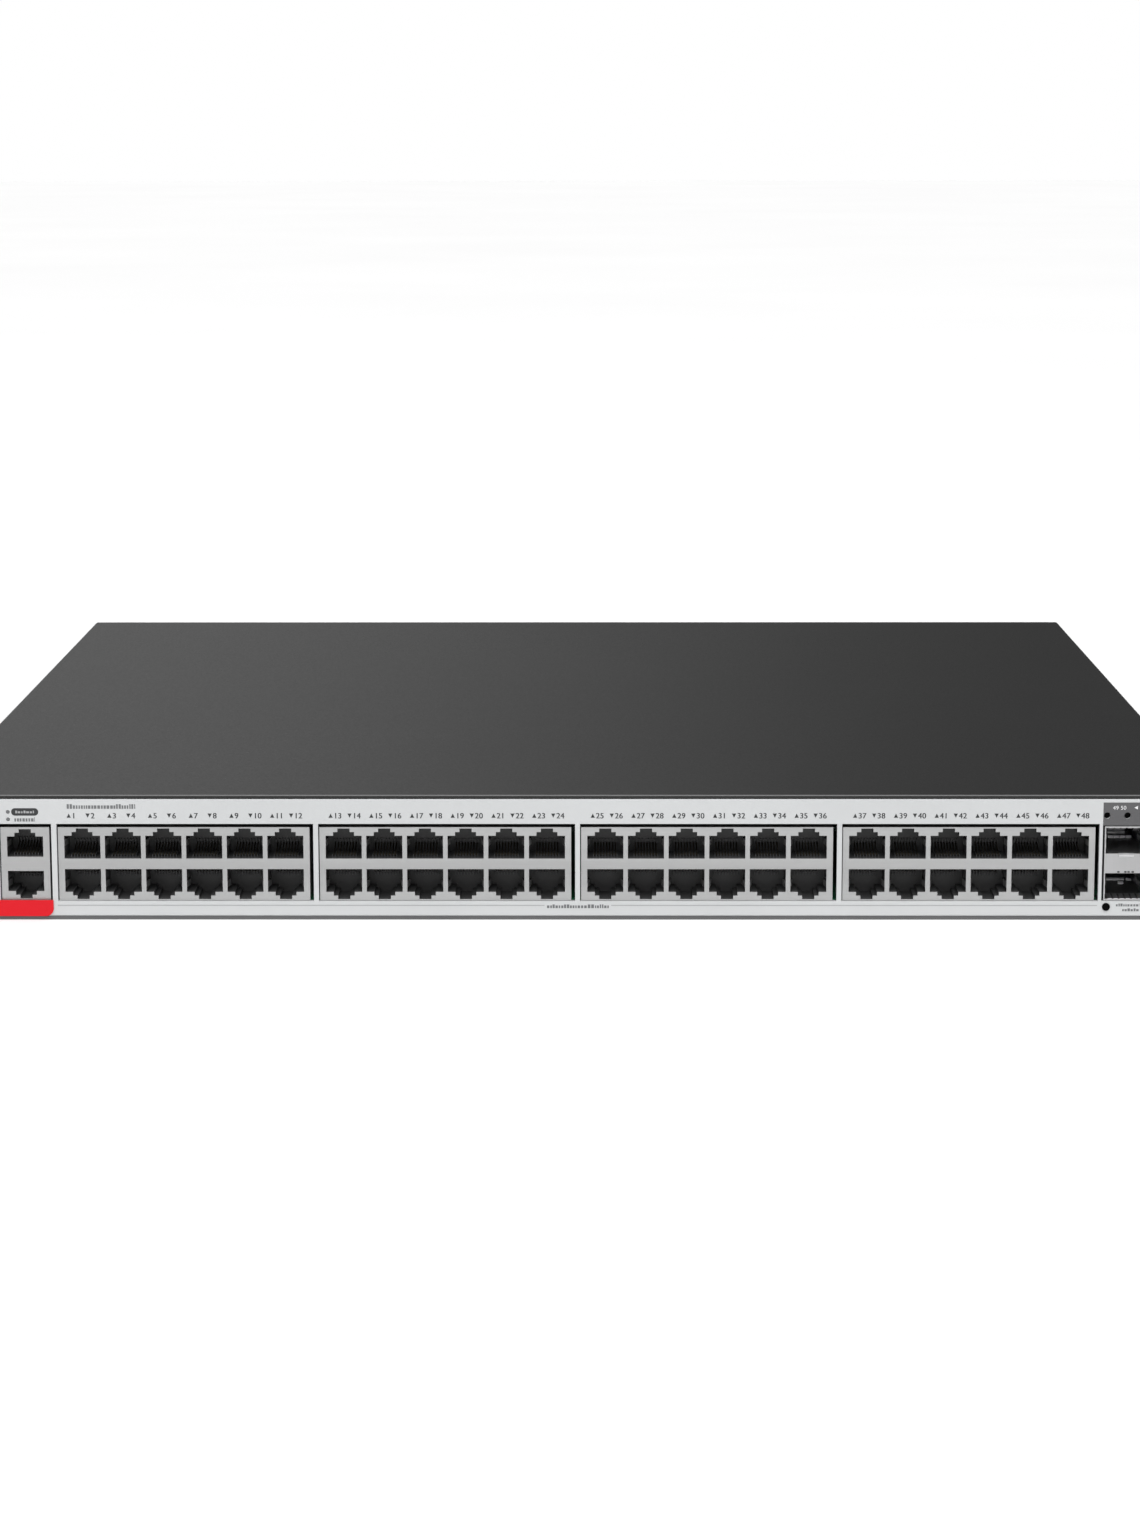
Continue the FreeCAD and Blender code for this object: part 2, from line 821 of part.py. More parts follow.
def make_badge_and_label():
    badge = new_body("model_badge")
    face = sketch_on(badge, "XZ_Plane", "front")
    rectangle(face, "0 - side_in + fit", "badge_right", "badge_low", "badge_high")
    extrude(face, "badge_thick", -1)
    round_edges(
        badge, "badge_corner",
        lambda at, along: abs(along.y) > 0.99 and near(at.x, "badge_right") and near(at.z, "badge_low"),
    )
    node(badge, "model_badge")

    label = new_body("uplink_label")
    face = sketch_on(label, "XZ_Plane", "front")
    rectangle(
        face, "label_left + fit / 2", "label_right - fit / 2", "label_low + fit / 2", "label_high - fit / 2"
    )
    extrude(face, "label_thick", 1)
    holes = sketch_on(label, "XZ_Plane", "front")
    for x, z in UPLINK_LAMPS:
        circle(holes, x, z, "uplink_lamp_radius + lamp_gap")
    cut(holes, "label_thick", 1)
    node(label, "uplink_label")


def mirrored(name, source):
    """The same shape on the other side of the middle."""
    made = doc.addObject("Part::Mirroring", name)
    made.Source = source
    made.Normal = Vector(1, 0, 0)
    return made


def make_ears():
    body = new_body("rack_ear_right_blank")
    bracket = sketch_on(body, "XY_Plane", "panel_low")
    outline(bracket, [
        ("side_out", "ear_face"), ("side_out + ear_reach", "ear_face"),
        ("side_out + ear_reach", "ear_face + ear_sheet"), ("side_out + ear_sheet", "ear_face + ear_sheet"),
        ("side_out + ear_sheet", "ear_face + ear_length"), ("side_out", "ear_face + ear_length"),
    ])
    extrude(bracket, "panel_high - panel_low", 1)
    round_edges(
        body, "bend",
        lambda at, along: abs(along.z) > 0.99 and near(at.x, "side_out") and near(at.y, "ear_face"),
    )
    round_edges(
        body, "ear_corner",
        lambda at, along: abs(along.y) > 0.99 and near(at.x, "side_out + ear_reach"),
    )
    holes = sketch_on(body, "YZ_Plane", "side_out")
    for y, z in EAR_SCREWS:
        circle(holes, y, z, "ear_screw_radius + fit")
    cut(holes, "ear_sheet", 1)

    tools = []
    flat = "(rack_slot_length / 2 - rack_slot_radius)"
    for place, side in enumerate((-1, 1)):
        height = f"body_height / 2 + {side} * rack_hole_rise / 2"
        for end, sign in enumerate((-1, 1)):
            tools.append(rod(
                f"slot_end_{place}_{end}", "y", "rack_slot_radius", "ear_face - over",
                "ear_sheet + 2 * over", x=f"rack_hole_spacing / 2 + {sign} * {flat}", z=height,
            ))
        tools.append(block(
            f"slot_middle_{place}",
            (f"rack_hole_spacing / 2 - {flat}", f"rack_hole_spacing / 2 + {flat}"),
            ("ear_face - over", "ear_face + ear_sheet + over"),
            (f"{height} - rack_slot_radius", f"{height} + rack_slot_radius"),
        ))
    for index, (y, z) in enumerate(EAR_SCREWS):
        tools.append(rod(
            f"ear_sink_{index}", "x", "ear_screw_radius + fit", "side_out + ear_sheet - ear_screw_sink",
            "ear_screw_sink + fit", y=y, z=z, tip="ear_screw_head + 2 * fit",
        ))
    right = take("rack_ear_right", body, join("ear_tools", tools))
    node(right, "rack_ear_right")
    node(mirrored("rack_ear_left", right), "rack_ear_left")


def on_both_sides(name, solids):
    """One node of solids on the right and their mirror images on the left."""
    right = group(f"{name}_right", solids)
    node(group(name, [right, mirrored(f"{name}_left", right)]), name)


def make_side_screws():
    """The ears' countersunk screws, and the cover's low screws."""
    ears = []
    seat = "side_out + ear_sheet - ear_screw_sink"
    for index, (y, z) in enumerate(EAR_SCREWS):
        shank = rod(
            f"ear_screw_shank_{index}", "x", "ear_screw_radius", "side_out + ear_sheet - ear_screw_length",
            "ear_screw_length - ear_screw_sink", y=y, z=z,
        )
        head = rod(
            f"ear_screw_head_{index}", "x", "ear_screw_radius", seat, "ear_screw_sink - fit",
            y=y, z=z, tip="ear_screw_head",
        )
        socket = rod(
            f"ear_screw_socket_{index}", "x", "ear_screw_socket", f"{seat} + ear_screw_sink / 3",
            "ear_screw_sink", y=y, z=z,
        )
        solid = join(f"ear_screw_solid_{index}", [shank, head])
        ears.append(take(f"ear_screw_{index}", solid, socket))
    on_both_sides("ear_screws", ears)

    covers = []
    for index, (y, z) in enumerate(COVER_SCREWS):
        shank = rod(
            f"cover_screw_shank_{index}", "x", "cover_screw_radius", "side_out - cover_screw_length",
            "cover_screw_length + fit", y=y, z=z,
        )
        head = rod(
            f"cover_screw_head_{index}", "x", "cover_screw_head", "side_out", "cover_screw_rise",
            y=y, z=z, tip="cover_screw_rim",
        )
        socket = rod(
            f"cover_screw_socket_{index}", "x", "cover_screw_socket", "side_out + cover_screw_rise / 3",
            "cover_screw_rise", y=y, z=z,
        )
        solid = join(f"cover_screw_solid_{index}", [shank, head])
        covers.append(take(f"cover_screw_{index}", solid, socket))
    on_both_sides("cover_screws", covers)


# ---------------------------------------------------------------- front connectors


def port_outline(sketch, centre, side, bar, tall):
    """The keyed mouth of one jack, its key up (1) in the upper row and down (-1) in the lower."""
    heights = [
        f"stack_middle + {side} * ({step})"
        for step in (
            f"{bar} / 2",
            f"{bar} / 2 + {tall}",
            f"{bar} / 2 + {tall} + port_step",
            f"{bar} / 2 + {tall} + port_step + port_key",
        )
    ]
    halves = [f"{width} / 2" for width in ("port_width", "port_step_width", "port_key_width")]
    right, left = [], []
    for half, low, high in zip(halves, heights, heights[1:]):
        right += [(f"{centre} + {half}", low), (f"{centre} + {half}", high)]
        left += [(f"{centre} - {half}", low), (f"{centre} - {half}", high)]
    outline(sketch, right + left[::-1])


def cut_ports(body, first, columns, place, depth, bar, tall):
    """Both rows of a stack's jack mouths, from a place along Y inwards."""
    for side in (1, -1):
        sketch = sketch_on(body, "XZ_Plane", place)
        port_outline(sketch, first, side, bar, tall)
        mouth = cut(sketch, depth, 1)
        if columns > 1:
            row([mouth], "X", (columns, "port_pitch"))


def make_stack(prefix, suffix, centre, width, columns, bar="port_bar", tall="port_body"):
    """A stack of jacks: its plated shield and, inside that, its black housing."""
    half = f"({width}) / 2"
    first = f"({centre} - {(columns - 1) / 2} * port_pitch)"
    shield = new_body(f"{prefix}_shield{suffix}")
    shell = sketch_on(shield, "XZ_Plane", "stack_front")
    rectangle(shell, f"{centre} - {half}", f"{centre} + {half}", "stack_low", "stack_high")
    extrude(shell, "stack_depth", 1)
    inside = sketch_on(shield, "XY_Plane", "stack_low")
    rectangle(
        inside, f"{centre} - {half} + skin", f"{centre} + {half} - skin",
        "stack_front + skin", "stack_front + stack_depth - skin",
    )
    cut(inside, "stack_high - stack_low - skin", 1)
    cut_ports(shield, first, columns, "stack_front", "skin", bar, tall)
    node(shield, f"{prefix}_shield{suffix}")

    housing = new_body(f"{prefix}_housing{suffix}")
    core = sketch_on(housing, "XZ_Plane", "stack_front + skin")
    left, right = f"{centre} - {half} + skin", f"{centre} + {half} - skin"
    rectangle(core, left, right, "stack_low", "stack_high - skin")
    extrude(core, "stack_depth - 2 * skin", 1)
    cut_ports(housing, first, columns, "stack_front + skin", "port_depth - skin", bar, tall)
    node(housing, f"{prefix}_housing{suffix}")


def make_contacts(label, first, columns, groups, bar="port_bar"):
    """The sprung contacts of each jack, eight side by side, sloping up from the side away from the key."""
    body = new_body(label)
    body.AllowCompound = True
    pads = []
    for side in (1, -1):
        left = f"{first} - {(CONTACTS - 1) / 2} * contact_pitch - contact_width / 2"
        sketch = sketch_on(body, "YZ_Plane", left)
        low = f"stack_middle + {side} * ({bar} / 2 + contact_start"
        outline(sketch, [
            ("cavity_back - contact_run", f"{low})"),
            ("cavity_back", f"{low} + contact_rise)"),
            ("cavity_back", f"{low} + contact_rise + contact_thick)"),
            ("cavity_back - contact_run", f"{low} + contact_thick)"),
        ])
        pads.append(extrude(sketch, "contact_width", 1))
    steps = [(CONTACTS, "contact_pitch"), (columns, "port_pitch"), (groups, "group_pitch")]
    row(pads, "X", *[step for step in steps if step[0] > 1])
    return node(body, label)


def make_cage():
    """The uplink cage, and the four edge connectors at its back."""
    cage = new_body("uplink_cage")
    shell = sketch_on(cage, "XZ_Plane", "stack_front")
    rectangle(shell, "cage_left", "cage_left + cage_width", "stack_low", "cage_high")
    extrude(shell, "cage_depth", 1)
    mouths = sketch_on(cage, "XZ_Plane", "stack_front")
    left = "cage_left + (cage_width - cage_pitch - cage_mouth_width) / 2"
    for low in ("cage_upper", "cage_lower"):
        rectangle(mouths, left, f"{left} + cage_mouth_width", low, f"{low} + cage_mouth_height")
    row([cut(mouths, "cage_depth - skin", 1)], "X", (2, "cage_pitch"))
    node(cage, "uplink_cage")

    pairs = []
    for column in (0, 1):
        for low in ("cage_upper", "cage_lower"):
            mouth = f"{left} + {column} * cage_pitch"
            case = block(
                f"uplink_socket_{len(pairs)}",
                (f"{mouth} + socket_inset", f"{mouth} + cage_mouth_width - socket_inset"),
                ("cage_back - socket_length", "cage_back"), (low, f"{low} + socket_height"),
            )
            inset = "socket_inset + socket_wall"
            slot = block(
                f"uplink_slot_{len(pairs)}",
                (f"{mouth} + {inset}", f"{mouth} + cage_mouth_width - ({inset})"),
                ("cage_back - socket_length - over", "cage_back - socket_length + card_slot_depth"),
                (f"{low} + card_slot_low", f"{low} + card_slot_high"),
            )
            pairs.append(take(f"uplink_connector_{len(pairs)}", case, slot))
    node(group("uplink_connectors", pairs), "uplink_connectors")


def make_front_connectors():
    for index in range(GROUPS):
        centre = f"({STACK_FIRST} + {index} * group_pitch)"
        make_stack("port", f"_{index + 1}", centre, "stack_width", PORT_COLUMNS)
    make_stack("management", "", "service_centre", "service_width", 1, "service_bar", "service_body")
    make_contacts("port_contacts", f"({STACK_FIRST} - 2.5 * port_pitch)", PORT_COLUMNS, GROUPS)
    make_contacts("management_contacts", "service_centre", 1, 1, "service_bar")
    make_cage()


def make_lamps_and_button():
    pipes = new_body("port_light_pipes")
    pipes.AllowCompound = True
    rail = sketch_on(pipes, "YZ_Plane", f"{STACK_FIRST} - stack_width / 2 + over")
    outline(rail, [
        ("pipe_front", "pipe_top"), ("pipe_front + pipe_head", "pipe_top"),
        ("pipe_front + pipe_head", "pipe_shelf_high"), ("pipe_back", "pipe_shelf_high"),
        ("pipe_back", "board_top + pipe_gap"), ("pipe_back - pipe_sheet", "board_top + pipe_gap"),
        ("pipe_back - pipe_sheet", "pipe_shelf_low"), ("pipe_front", "pipe_shelf_low"),
    ])
    row([extrude(rail, "stack_width - 2 * over", 1)], "X", (GROUPS, "group_pitch"))
    tips = sketch_on(pipes, "XZ_Plane", "pipe_front")
    lamp_pair(tips, "(0 - lamp_gap)")
    tip = extrude(tips, "panel_sheet + pipe_gap", -1)
    row([tip], "X", (PORT_COLUMNS, "port_pitch"), (GROUPS, "group_pitch"))
    node(pipes, "port_light_pipes")

    lamps = []
    kinds = [
        (UPLINK_LAMPS, "uplink_lamp_radius", "front + uplink_lamp_sunk"),
        (SERVICE_LAMPS, "service_lamp_radius", "front"),
        (STATUS_LAMPS, "status_lamp_radius", "front"),
    ]
    for places, radius, start in kinds:
        for x, z in places:
            lamps.append(rod(f"lamp_{len(lamps)}", "y", radius, start, "lamp_length", x=x, z=z))
    node(group("status_light_pipes", lamps), "status_light_pipes")

    place = {"x": "button_centre", "z": "button_line"}
    cap = rod("button_cap", "y", "button_radius", "front - button_proud", "button_length", **place)
    collar = rod("button_collar", "y", "button_radius + button_collar", "panel_back + fit", "sheet", **place)
    node(join("mode_button", [cap, collar]), "mode_button")

    plunger_front = "button_back + plunger_gap + button_travel"
    plunger = rod("switch_plunger", "y", "plunger_radius", plunger_front, "plunger_length + fit", **place)
    switch_front = f"{plunger_front} + plunger_length"
    switch = block(
        "switch_case", ("button_centre - switch_width / 2", "button_centre + switch_width / 2"),
        (switch_front, f"{switch_front} + switch_depth"), ("floor_sheet + switch_gap", "board_top"),
    )
    node(join("mode_switch", [switch, plunger]), "mode_switch")


# ---------------------------------------------------------------- boards

STANDOFFS = [(x, y) for y in ("0 - 150", "0 - 60") for x in ("0 - 205", "0 - 100", "5", "110", "205")] + [
    ("0 - 205", "110"),
    ("0 - 100", "110"),
    ("5", "110"),
]
# Each chip's middle and its side. The first wears the big heat sink, and the rest of these small ones.
CHIPS = [("0 - 20", "0 - 75", 42), ("0 - 150", "0 - 20", 27)] + [
    (f"{x}", "0 - 130", 18) for x in (-165, -120, -60, 30, 75, 140)
]
BARE_CHIPS = [("0 - 120", "60", 14), ("0 - 150", "60", 12), ("60", "0 - 60", 16), ("100", "0 - 30", 10)]
MAIN_FINS = 20
SMALL_FINS = 7
POE_HEADERS = ("0 - 170", "0 - 90", "5", "110")
POE_COILS = 13
BOARD_LINKS = (70, 150)
TANKS = (-1, 0, 1)


def around(middle, width):
    """The two ends of a width that is centred on a place."""
    return f"{middle} - ({width}) / 2", f"{middle} + ({width}) / 2"


def make_finned_sink(name, x, y, side, top, fins):
    """A square heat sink: a base plate with a row of fins that run along Y, the way the air goes."""
    body = new_body(name)
    base = sketch_on(body, "XY_Plane", "chip_top")
    rectangle(base, *around(x, side), *around(y, side))
    extrude(base, "sink_base", 1)
    fin = sketch_on(body, "XY_Plane", "chip_top + sink_base - fit")
    left, _ = around(x, side)
    rectangle(fin, left, f"{left} + sink_fin", *around(y, side))
    height = f"{top} - (chip_top + sink_base - fit)"
    row([extrude(fin, height, 1)], "X", (fins, f"({side} - sink_fin) / {fins - 1}"))
    return body


def make_main_board():
    board = new_body("main_board")
    shape = sketch_on(board, "XY_Plane", "board_low")
    notch_left, notch_right = around("button_centre", "switch_width")
    outline(shape, [
        ("0 - board_half_width", "board_front"), (notch_left, "board_front"),
        (notch_left, "board_front + board_notch"), (notch_right, "board_front + board_notch"),
        (notch_right, "board_front"), ("board_half_width", "board_front"),
        ("board_half_width", "board_step"), ("board_corner", "board_step"),
        ("board_corner", "board_rear"), ("0 - board_half_width", "board_rear"),
    ])
    extrude(shape, "board_sheet", 1)
    holes = sketch_on(board, "XY_Plane", "board_low")
    for x, y in STANDOFFS:
        circle(holes, x, y, "board_hole")
    cut(holes, "board_sheet", 1)
    node(board, "main_board")

    pillars, screws = [], []
    for index, (x, y) in enumerate(STANDOFFS):
        place = {"x": x, "y": y}
        height = "board_low - floor_sheet"
        pillar = rod(f"pillar_{index}", "z", "standoff_radius", "floor_sheet", height, **place)
        bore = rod(f"pillar_bore_{index}", "z", "standoff_bore", "floor_sheet", height, **place)
        pillars.append(take(f"standoff_{index}", pillar, bore))
        shank = rod(
            f"board_screw_shank_{index}", "z", "board_screw_radius", "floor_sheet + 3 * fit",
            "board_top - floor_sheet", **place,
        )
        head = rod(
            f"board_screw_head_{index}", "z", "board_screw_head", "board_top", "board_screw_rise",
            tip="board_screw_rim", **place,
        )
        socket = rod(
            f"board_screw_socket_{index}", "z", "board_screw_socket", "board_top + board_screw_rise / 3",
            "board_screw_rise", **place,
        )
        solid = join(f"board_screw_solid_{index}", [shank, head])
        screws.append(take(f"board_screw_{index}", solid, socket))
    node(group("board_standoffs", pillars), "board_standoffs")
    node(group("board_screws", screws), "board_screws")


def make_chips():
    chips = [
        block(f"chip_{index}", around(x, side), around(y, side), ("board_top", "chip_top"))
        for index, (x, y, side) in enumerate(CHIPS + BARE_CHIPS)
    ]
    node(group("board_chips", chips), "board_chips")
    main_x, main_y, _ = CHIPS[0]
    main = make_finned_sink("switch_heat_sink", main_x, main_y, "main_sink_side", "main_sink_top", MAIN_FINS)
    node(main, "switch_heat_sink")
    small = [
        make_finned_sink(
            f"small_sink_{index}", x, y, f"({side} + small_sink_over)", "small_sink_top", SMALL_FINS
        )
        for index, (x, y, side) in enumerate(CHIPS[1:])
    ]
    node(group("small_heat_sinks", small), "small_heat_sinks")


def make_poe_board():
    """The board above the main one that feeds power to the copper ports."""
    card = block("poe_card", ("poe_left", "poe_right"), ("poe_front", "poe_rear"), ("poe_line", "poe_top"))
    headers = [
        block(
            f"poe_header_{index}", around(x, "header_width"), ("header_front", "header_rear"),
            ("board_top", "poe_line"),
        )
        for index, x in enumerate(POE_HEADERS)
    ]
    coils = [
        block(
            f"poe_coil_{index}", around(f"(coil_first + {index} * coil_pitch)", "coil_width"),
            ("coil_front", "coil_rear"), ("poe_top", "poe_top + coil_rise"),
        )
        for index in range(POE_COILS)
    ]
    node(group("poe_board", [card, *headers, *coils]), "poe_board")


def make_backplane():
    """The upright board that both supplies plug into, its connectors, and the walls of the bays."""
    plane = block(
        "backplane", ("backplane_left", "backplane_right"),
        ("backplane_face - board_sheet", "backplane_face"), ("floor_sheet", "backplane_top"),
    )
    node(plane, "backplane")
    connectors = []
    for index, (centre, _) in enumerate(BAYS[:2]):
        case = block(
            f"mate_{index}", (f"{centre} - mate_left", f"{centre} + mate_right"),
            ("backplane_face", "mate_reach"), ("mate_low", "mate_high"),
        )
        slot = block(
            f"mate_slot_{index}",
            (f"{centre} - mate_left + mate_wall", f"{centre} + mate_right - mate_wall"),
            ("backplane_face + mate_wall", "mate_reach + over"), ("edge_slot_low", "edge_slot_high"),
        )
        connectors.append(take(f"backplane_connector_{index}", case, slot))
    connectors += [
        block(
            f"board_link_{index}", around(x, "link_width"),
            ("board_step - link_depth", "backplane_face - board_sheet"), ("board_top", "link_top"),
        )
        for index, x in enumerate(BOARD_LINKS)
    ]
    node(group("backplane_connectors", connectors), "backplane_connectors")

    middles = ("supply_first - bay_width / 2 - sheet / 2 - fit", "supply_first + supply_pitch / 2")
    walls = [
        block(
            f"bay_wall_{index}", around(x, "sheet"), ("bay_front", "rear - sheet"),
            ("floor_sheet", "flange_top"),
        )
        for index, x in enumerate(middles)
    ]
    node(group("bay_walls", walls), "bay_walls")


# ---------------------------------------------------------------- fans


def make_fan(prefix, centre, outer_end):
    """A square axial fan that blows along +Y: its frame, and its bladed rotor."""
    frame = new_body(f"{prefix}_frame")
    square = sketch_on(frame, "XZ_Plane", outer_end)
    rectangle(square, *around(centre, "fan_size"), *around("fan_line", "fan_size"))
    extrude(square, "fan_depth", -1)
    duct = sketch_on(frame, "XZ_Plane", outer_end)
    circle(duct, centre, "fan_line", "fan_bore")
    cut(duct, "fan_depth", -1)
    corners = sketch_on(frame, "XZ_Plane", outer_end)
    for across in (-1, 1):
        for up in (-1, 1):
            circle(
                corners, f"{centre} + {across} * fan_hole_offset", f"fan_line + {up} * fan_hole_offset",
                "fan_hole_radius",
            )
    cut(corners, "fan_depth", -1)
    long_way, short_way = "2 * fan_bore + over", "2 * strut_half_width"
    for width, height in ((long_way, short_way), (short_way, long_way)):
        strut = sketch_on(frame, "XZ_Plane", outer_end)
        rectangle(strut, *around(centre, width), *around("fan_line", height))
        extrude(strut, "strut_depth", -1)
    boss = sketch_on(frame, "XZ_Plane", outer_end)
    circle(boss, centre, "fan_line", "hub_radius")
    extrude(boss, "boss_depth", -1)
    bearing = sketch_on(frame, "XZ_Plane", outer_end)
    circle(bearing, centre, "fan_line", "bearing_radius")
    cut(bearing, "boss_depth", -1)
    node(frame, f"{prefix}_frame")

    rotor = new_body(f"{prefix}_rotor")
    bind(rotor, "Placement.Base.x", centre)
    bind(rotor, "Placement.Base.y", f"{outer_end} - fan_depth / 2")
    bind(rotor, "Placement.Base.z", "fan_line")
    hub = sketch_on(rotor, "XZ_Plane", "fan_depth / 2 - hub_inset")
    circle(hub, "0", "0", "hub_radius")
    extrude(hub, "fan_depth - hub_shorter", -1)
    shaft = sketch_on(rotor, "XZ_Plane", "fan_depth / 2 - shaft_inset")
    circle(shaft, "0", "0", "shaft_radius")
    extrude(shaft, "shaft_length", -1)
    section = sketch_on(rotor, "YZ_Plane", "hub_radius - blade_root")
    outline(section, [
        ("0 - blade_half_run", "0 - blade_half_rise"),
        ("0 - blade_half_run + blade_thick", "0 - blade_half_rise"),
        ("blade_half_run", "blade_half_rise"),
        ("blade_half_run - blade_thick", "blade_half_rise"),
    ])
    blade = extrude(section, "blade_tip - hub_radius + blade_root", 1)
    ring([blade], "Y", BLADES)
    node(rotor, f"{prefix}_rotor")


def cut_grille(body, centre, place, depth):
    """Louvre slots in a sheet in front of a fan."""
    sketch = sketch_on(body, "XZ_Plane", place)
    low = "fan_line - (grille_count - 1) / 2 * grille_pitch - grille_slot / 2"
    rectangle(sketch, *around(centre, "grille_width"), low, f"{low} + grille_slot")
    return row([cut(sketch, depth, -1)], "Z", (int(SIZES["grille_count"]), "grille_pitch"))


# ---------------------------------------------------------------- power supplies


def make_case(name, centre, latch):
    """A supply's sheet-metal case, with its flange, grille, openings and the ears of the latch's pivot."""
    case = new_body(f"{name}_case")
    left, right = around(centre, "supply_width")
    top = "supply_low + supply_height"
    tube = sketch_on(case, "XZ_Plane", "rear")
    rectangle(tube, left, right, "supply_low", top)
    extrude(tube, "supply_length", -1)
    hollow = sketch_on(case, "XZ_Plane", "rear")
    rectangle(
        hollow, f"{left} + supply_sheet", f"{right} - supply_sheet",
        "supply_low + supply_sheet", f"{top} - supply_sheet",
    )
    cut(hollow, "supply_length - supply_sheet", -1)
    flange = sketch_on(case, "XZ_Plane", "flange_back")
    rectangle(flange, *around(centre, "flange_width"), "supply_low", f"{top} + flange_rise")
    extrude(flange, "flange_sheet", -1)

    inner_mouth = sketch_on(case, "XZ_Plane", "bay_front")
    rectangle(
        inner_mouth, f"{centre} - mate_left", f"{centre} + mate_right",
        "supply_low + supply_mouth_low", "supply_mouth_high",
    )
    cut(inner_mouth, "supply_sheet", 1)
    inner_vent = sketch_on(case, "XZ_Plane", "bay_front")
    vent_left = f"{centre} + supply_vent_first"
    vent_right = f"{vent_left} + supply_vent_width"
    rectangle(inner_vent, vent_left, vent_right, "supply_vent_low", "supply_vent_high")
    row([cut(inner_vent, "supply_sheet", 1)], "X", (int(SIZES["supply_vent_count"]), "supply_vent_pitch"))

    openings = sketch_on(case, "XZ_Plane", "flange_back")
    rectangle(
        openings, *around(f"({centre} + inlet_offset)", "inlet_width + 2 * fit"),
        *around("fan_line", "inlet_height + 2 * fit"),
    )
    rectangle(
        openings, f"{latch} - latch_half_sheet - latch_heel + fit", f"{latch} + latch_half_sheet + 6 * fit",
        *around("fan_line", "latch_height + 8 * fit"),
    )
    cut(openings, "flange_sheet + supply_sheet", -1)
    cut_grille(case, f"{centre} + supply_fan_offset", "flange_back", "flange_sheet")

    for side in (-1, 1):
        low = f"fan_line + {side} * pivot_ear_offset - pivot_ear_sheet / 2"
        ear = sketch_on(case, "XY_Plane", low)
        rectangle(ear, f"{latch} - latch_heel", right, *around("latch_line", "pivot_ear_depth"))
        extrude(ear, "pivot_ear_sheet", 1)
    pivot = sketch_on(case, "XY_Plane", "fan_line - pivot_length / 2 - over")
    circle(pivot, latch, "latch_line", "pivot_radius + fit / 2")
    cut(pivot, "pivot_length + 2 * over", 1)
    hook_window = sketch_on(case, "YZ_Plane", right)
    rectangle(
        hook_window, "rear - hook_front - 4 * fit", "rear - hook_rear + 8 * fit",
        *around("fan_line", "hook_height + 8 * fit"),
    )
    cut(hook_window, "supply_sheet", -1)
    node(case, f"{name}_case")


def make_handle(name, centre):
    handle = new_body(f"{name}_handle")
    loop = sketch_on(handle, "YZ_Plane", f"{centre} + handle_offset")
    reach = "flange_back + handle_reach"
    outline(loop, [
        ("flange_back", "handle_low"), (reach, "handle_low"), (reach, "handle_high"),
        ("flange_back", "handle_high"), ("flange_back", "handle_high - handle_bar"),
        (f"{reach} - handle_bar", "handle_high - handle_bar"),
        (f"{reach} - handle_bar", "handle_low + handle_bar"), ("flange_back", "handle_low + handle_bar"),
    ])
    extrude(loop, "handle_bar", both_ways=True)
    round_edges(handle, "handle_bend", lambda at, along: abs(along.x) > 0.99 and near(at.y, reach))
    round_edges(
        handle, "handle_bend - handle_bar",
        lambda at, along: abs(along.x) > 0.99 and near(at.y, f"{reach} - handle_bar"),
    )
    round_edges(
        handle, "handle_edge",
        lambda at, along: abs(along.x) < 0.5 and not near(at.y, "flange_back"),
    )
    node(handle, f"{name}_handle")


def make_latch(name, right, latch):
    """The red lever that holds a supply in: it turns on its pin, and its hook catches the bay's wall."""
    lever = new_body(f"{name}_latch")
    arm = sketch_on(lever, "XY_Plane", "fan_line - latch_height / 2")
    outline(arm, [
        (f"{latch} - latch_half_sheet", "latch_line - latch_heel"),
        (f"{latch} + latch_half_sheet", "latch_line - latch_heel"),
        (f"{latch} + latch_half_sheet", "flange_back + latch_tongue"),
        (f"{latch} + latch_half_sheet + latch_flare", "flange_back + latch_curl"),
        (f"{latch} + latch_half_sheet", "flange_back + latch_tip"),
        (f"{latch} - latch_half_sheet", "flange_back + latch_tongue + over"),
    ])
    extrude(arm, "latch_height", 1)
    hook = sketch_on(lever, "XY_Plane", "fan_line - hook_height / 2")
    root = f"{latch} + latch_half_sheet - 2 * fit"
    outline(hook, [
        (root, "rear - hook_front"), (right, "rear - hook_nose"), (right, "rear - hook_rear"),
        (root, "rear - hook_rear"),
    ])
    extrude(hook, "hook_height", 1)
    pin = sketch_on(lever, "XY_Plane", "fan_line - pivot_length / 2")
    circle(pin, latch, "latch_line", "pivot_radius")
    extrude(pin, "pivot_length", 1)
    node(lever, f"{name}_latch")


INLET_PINS = ((-7, -3), (7, -3), (0, 2))


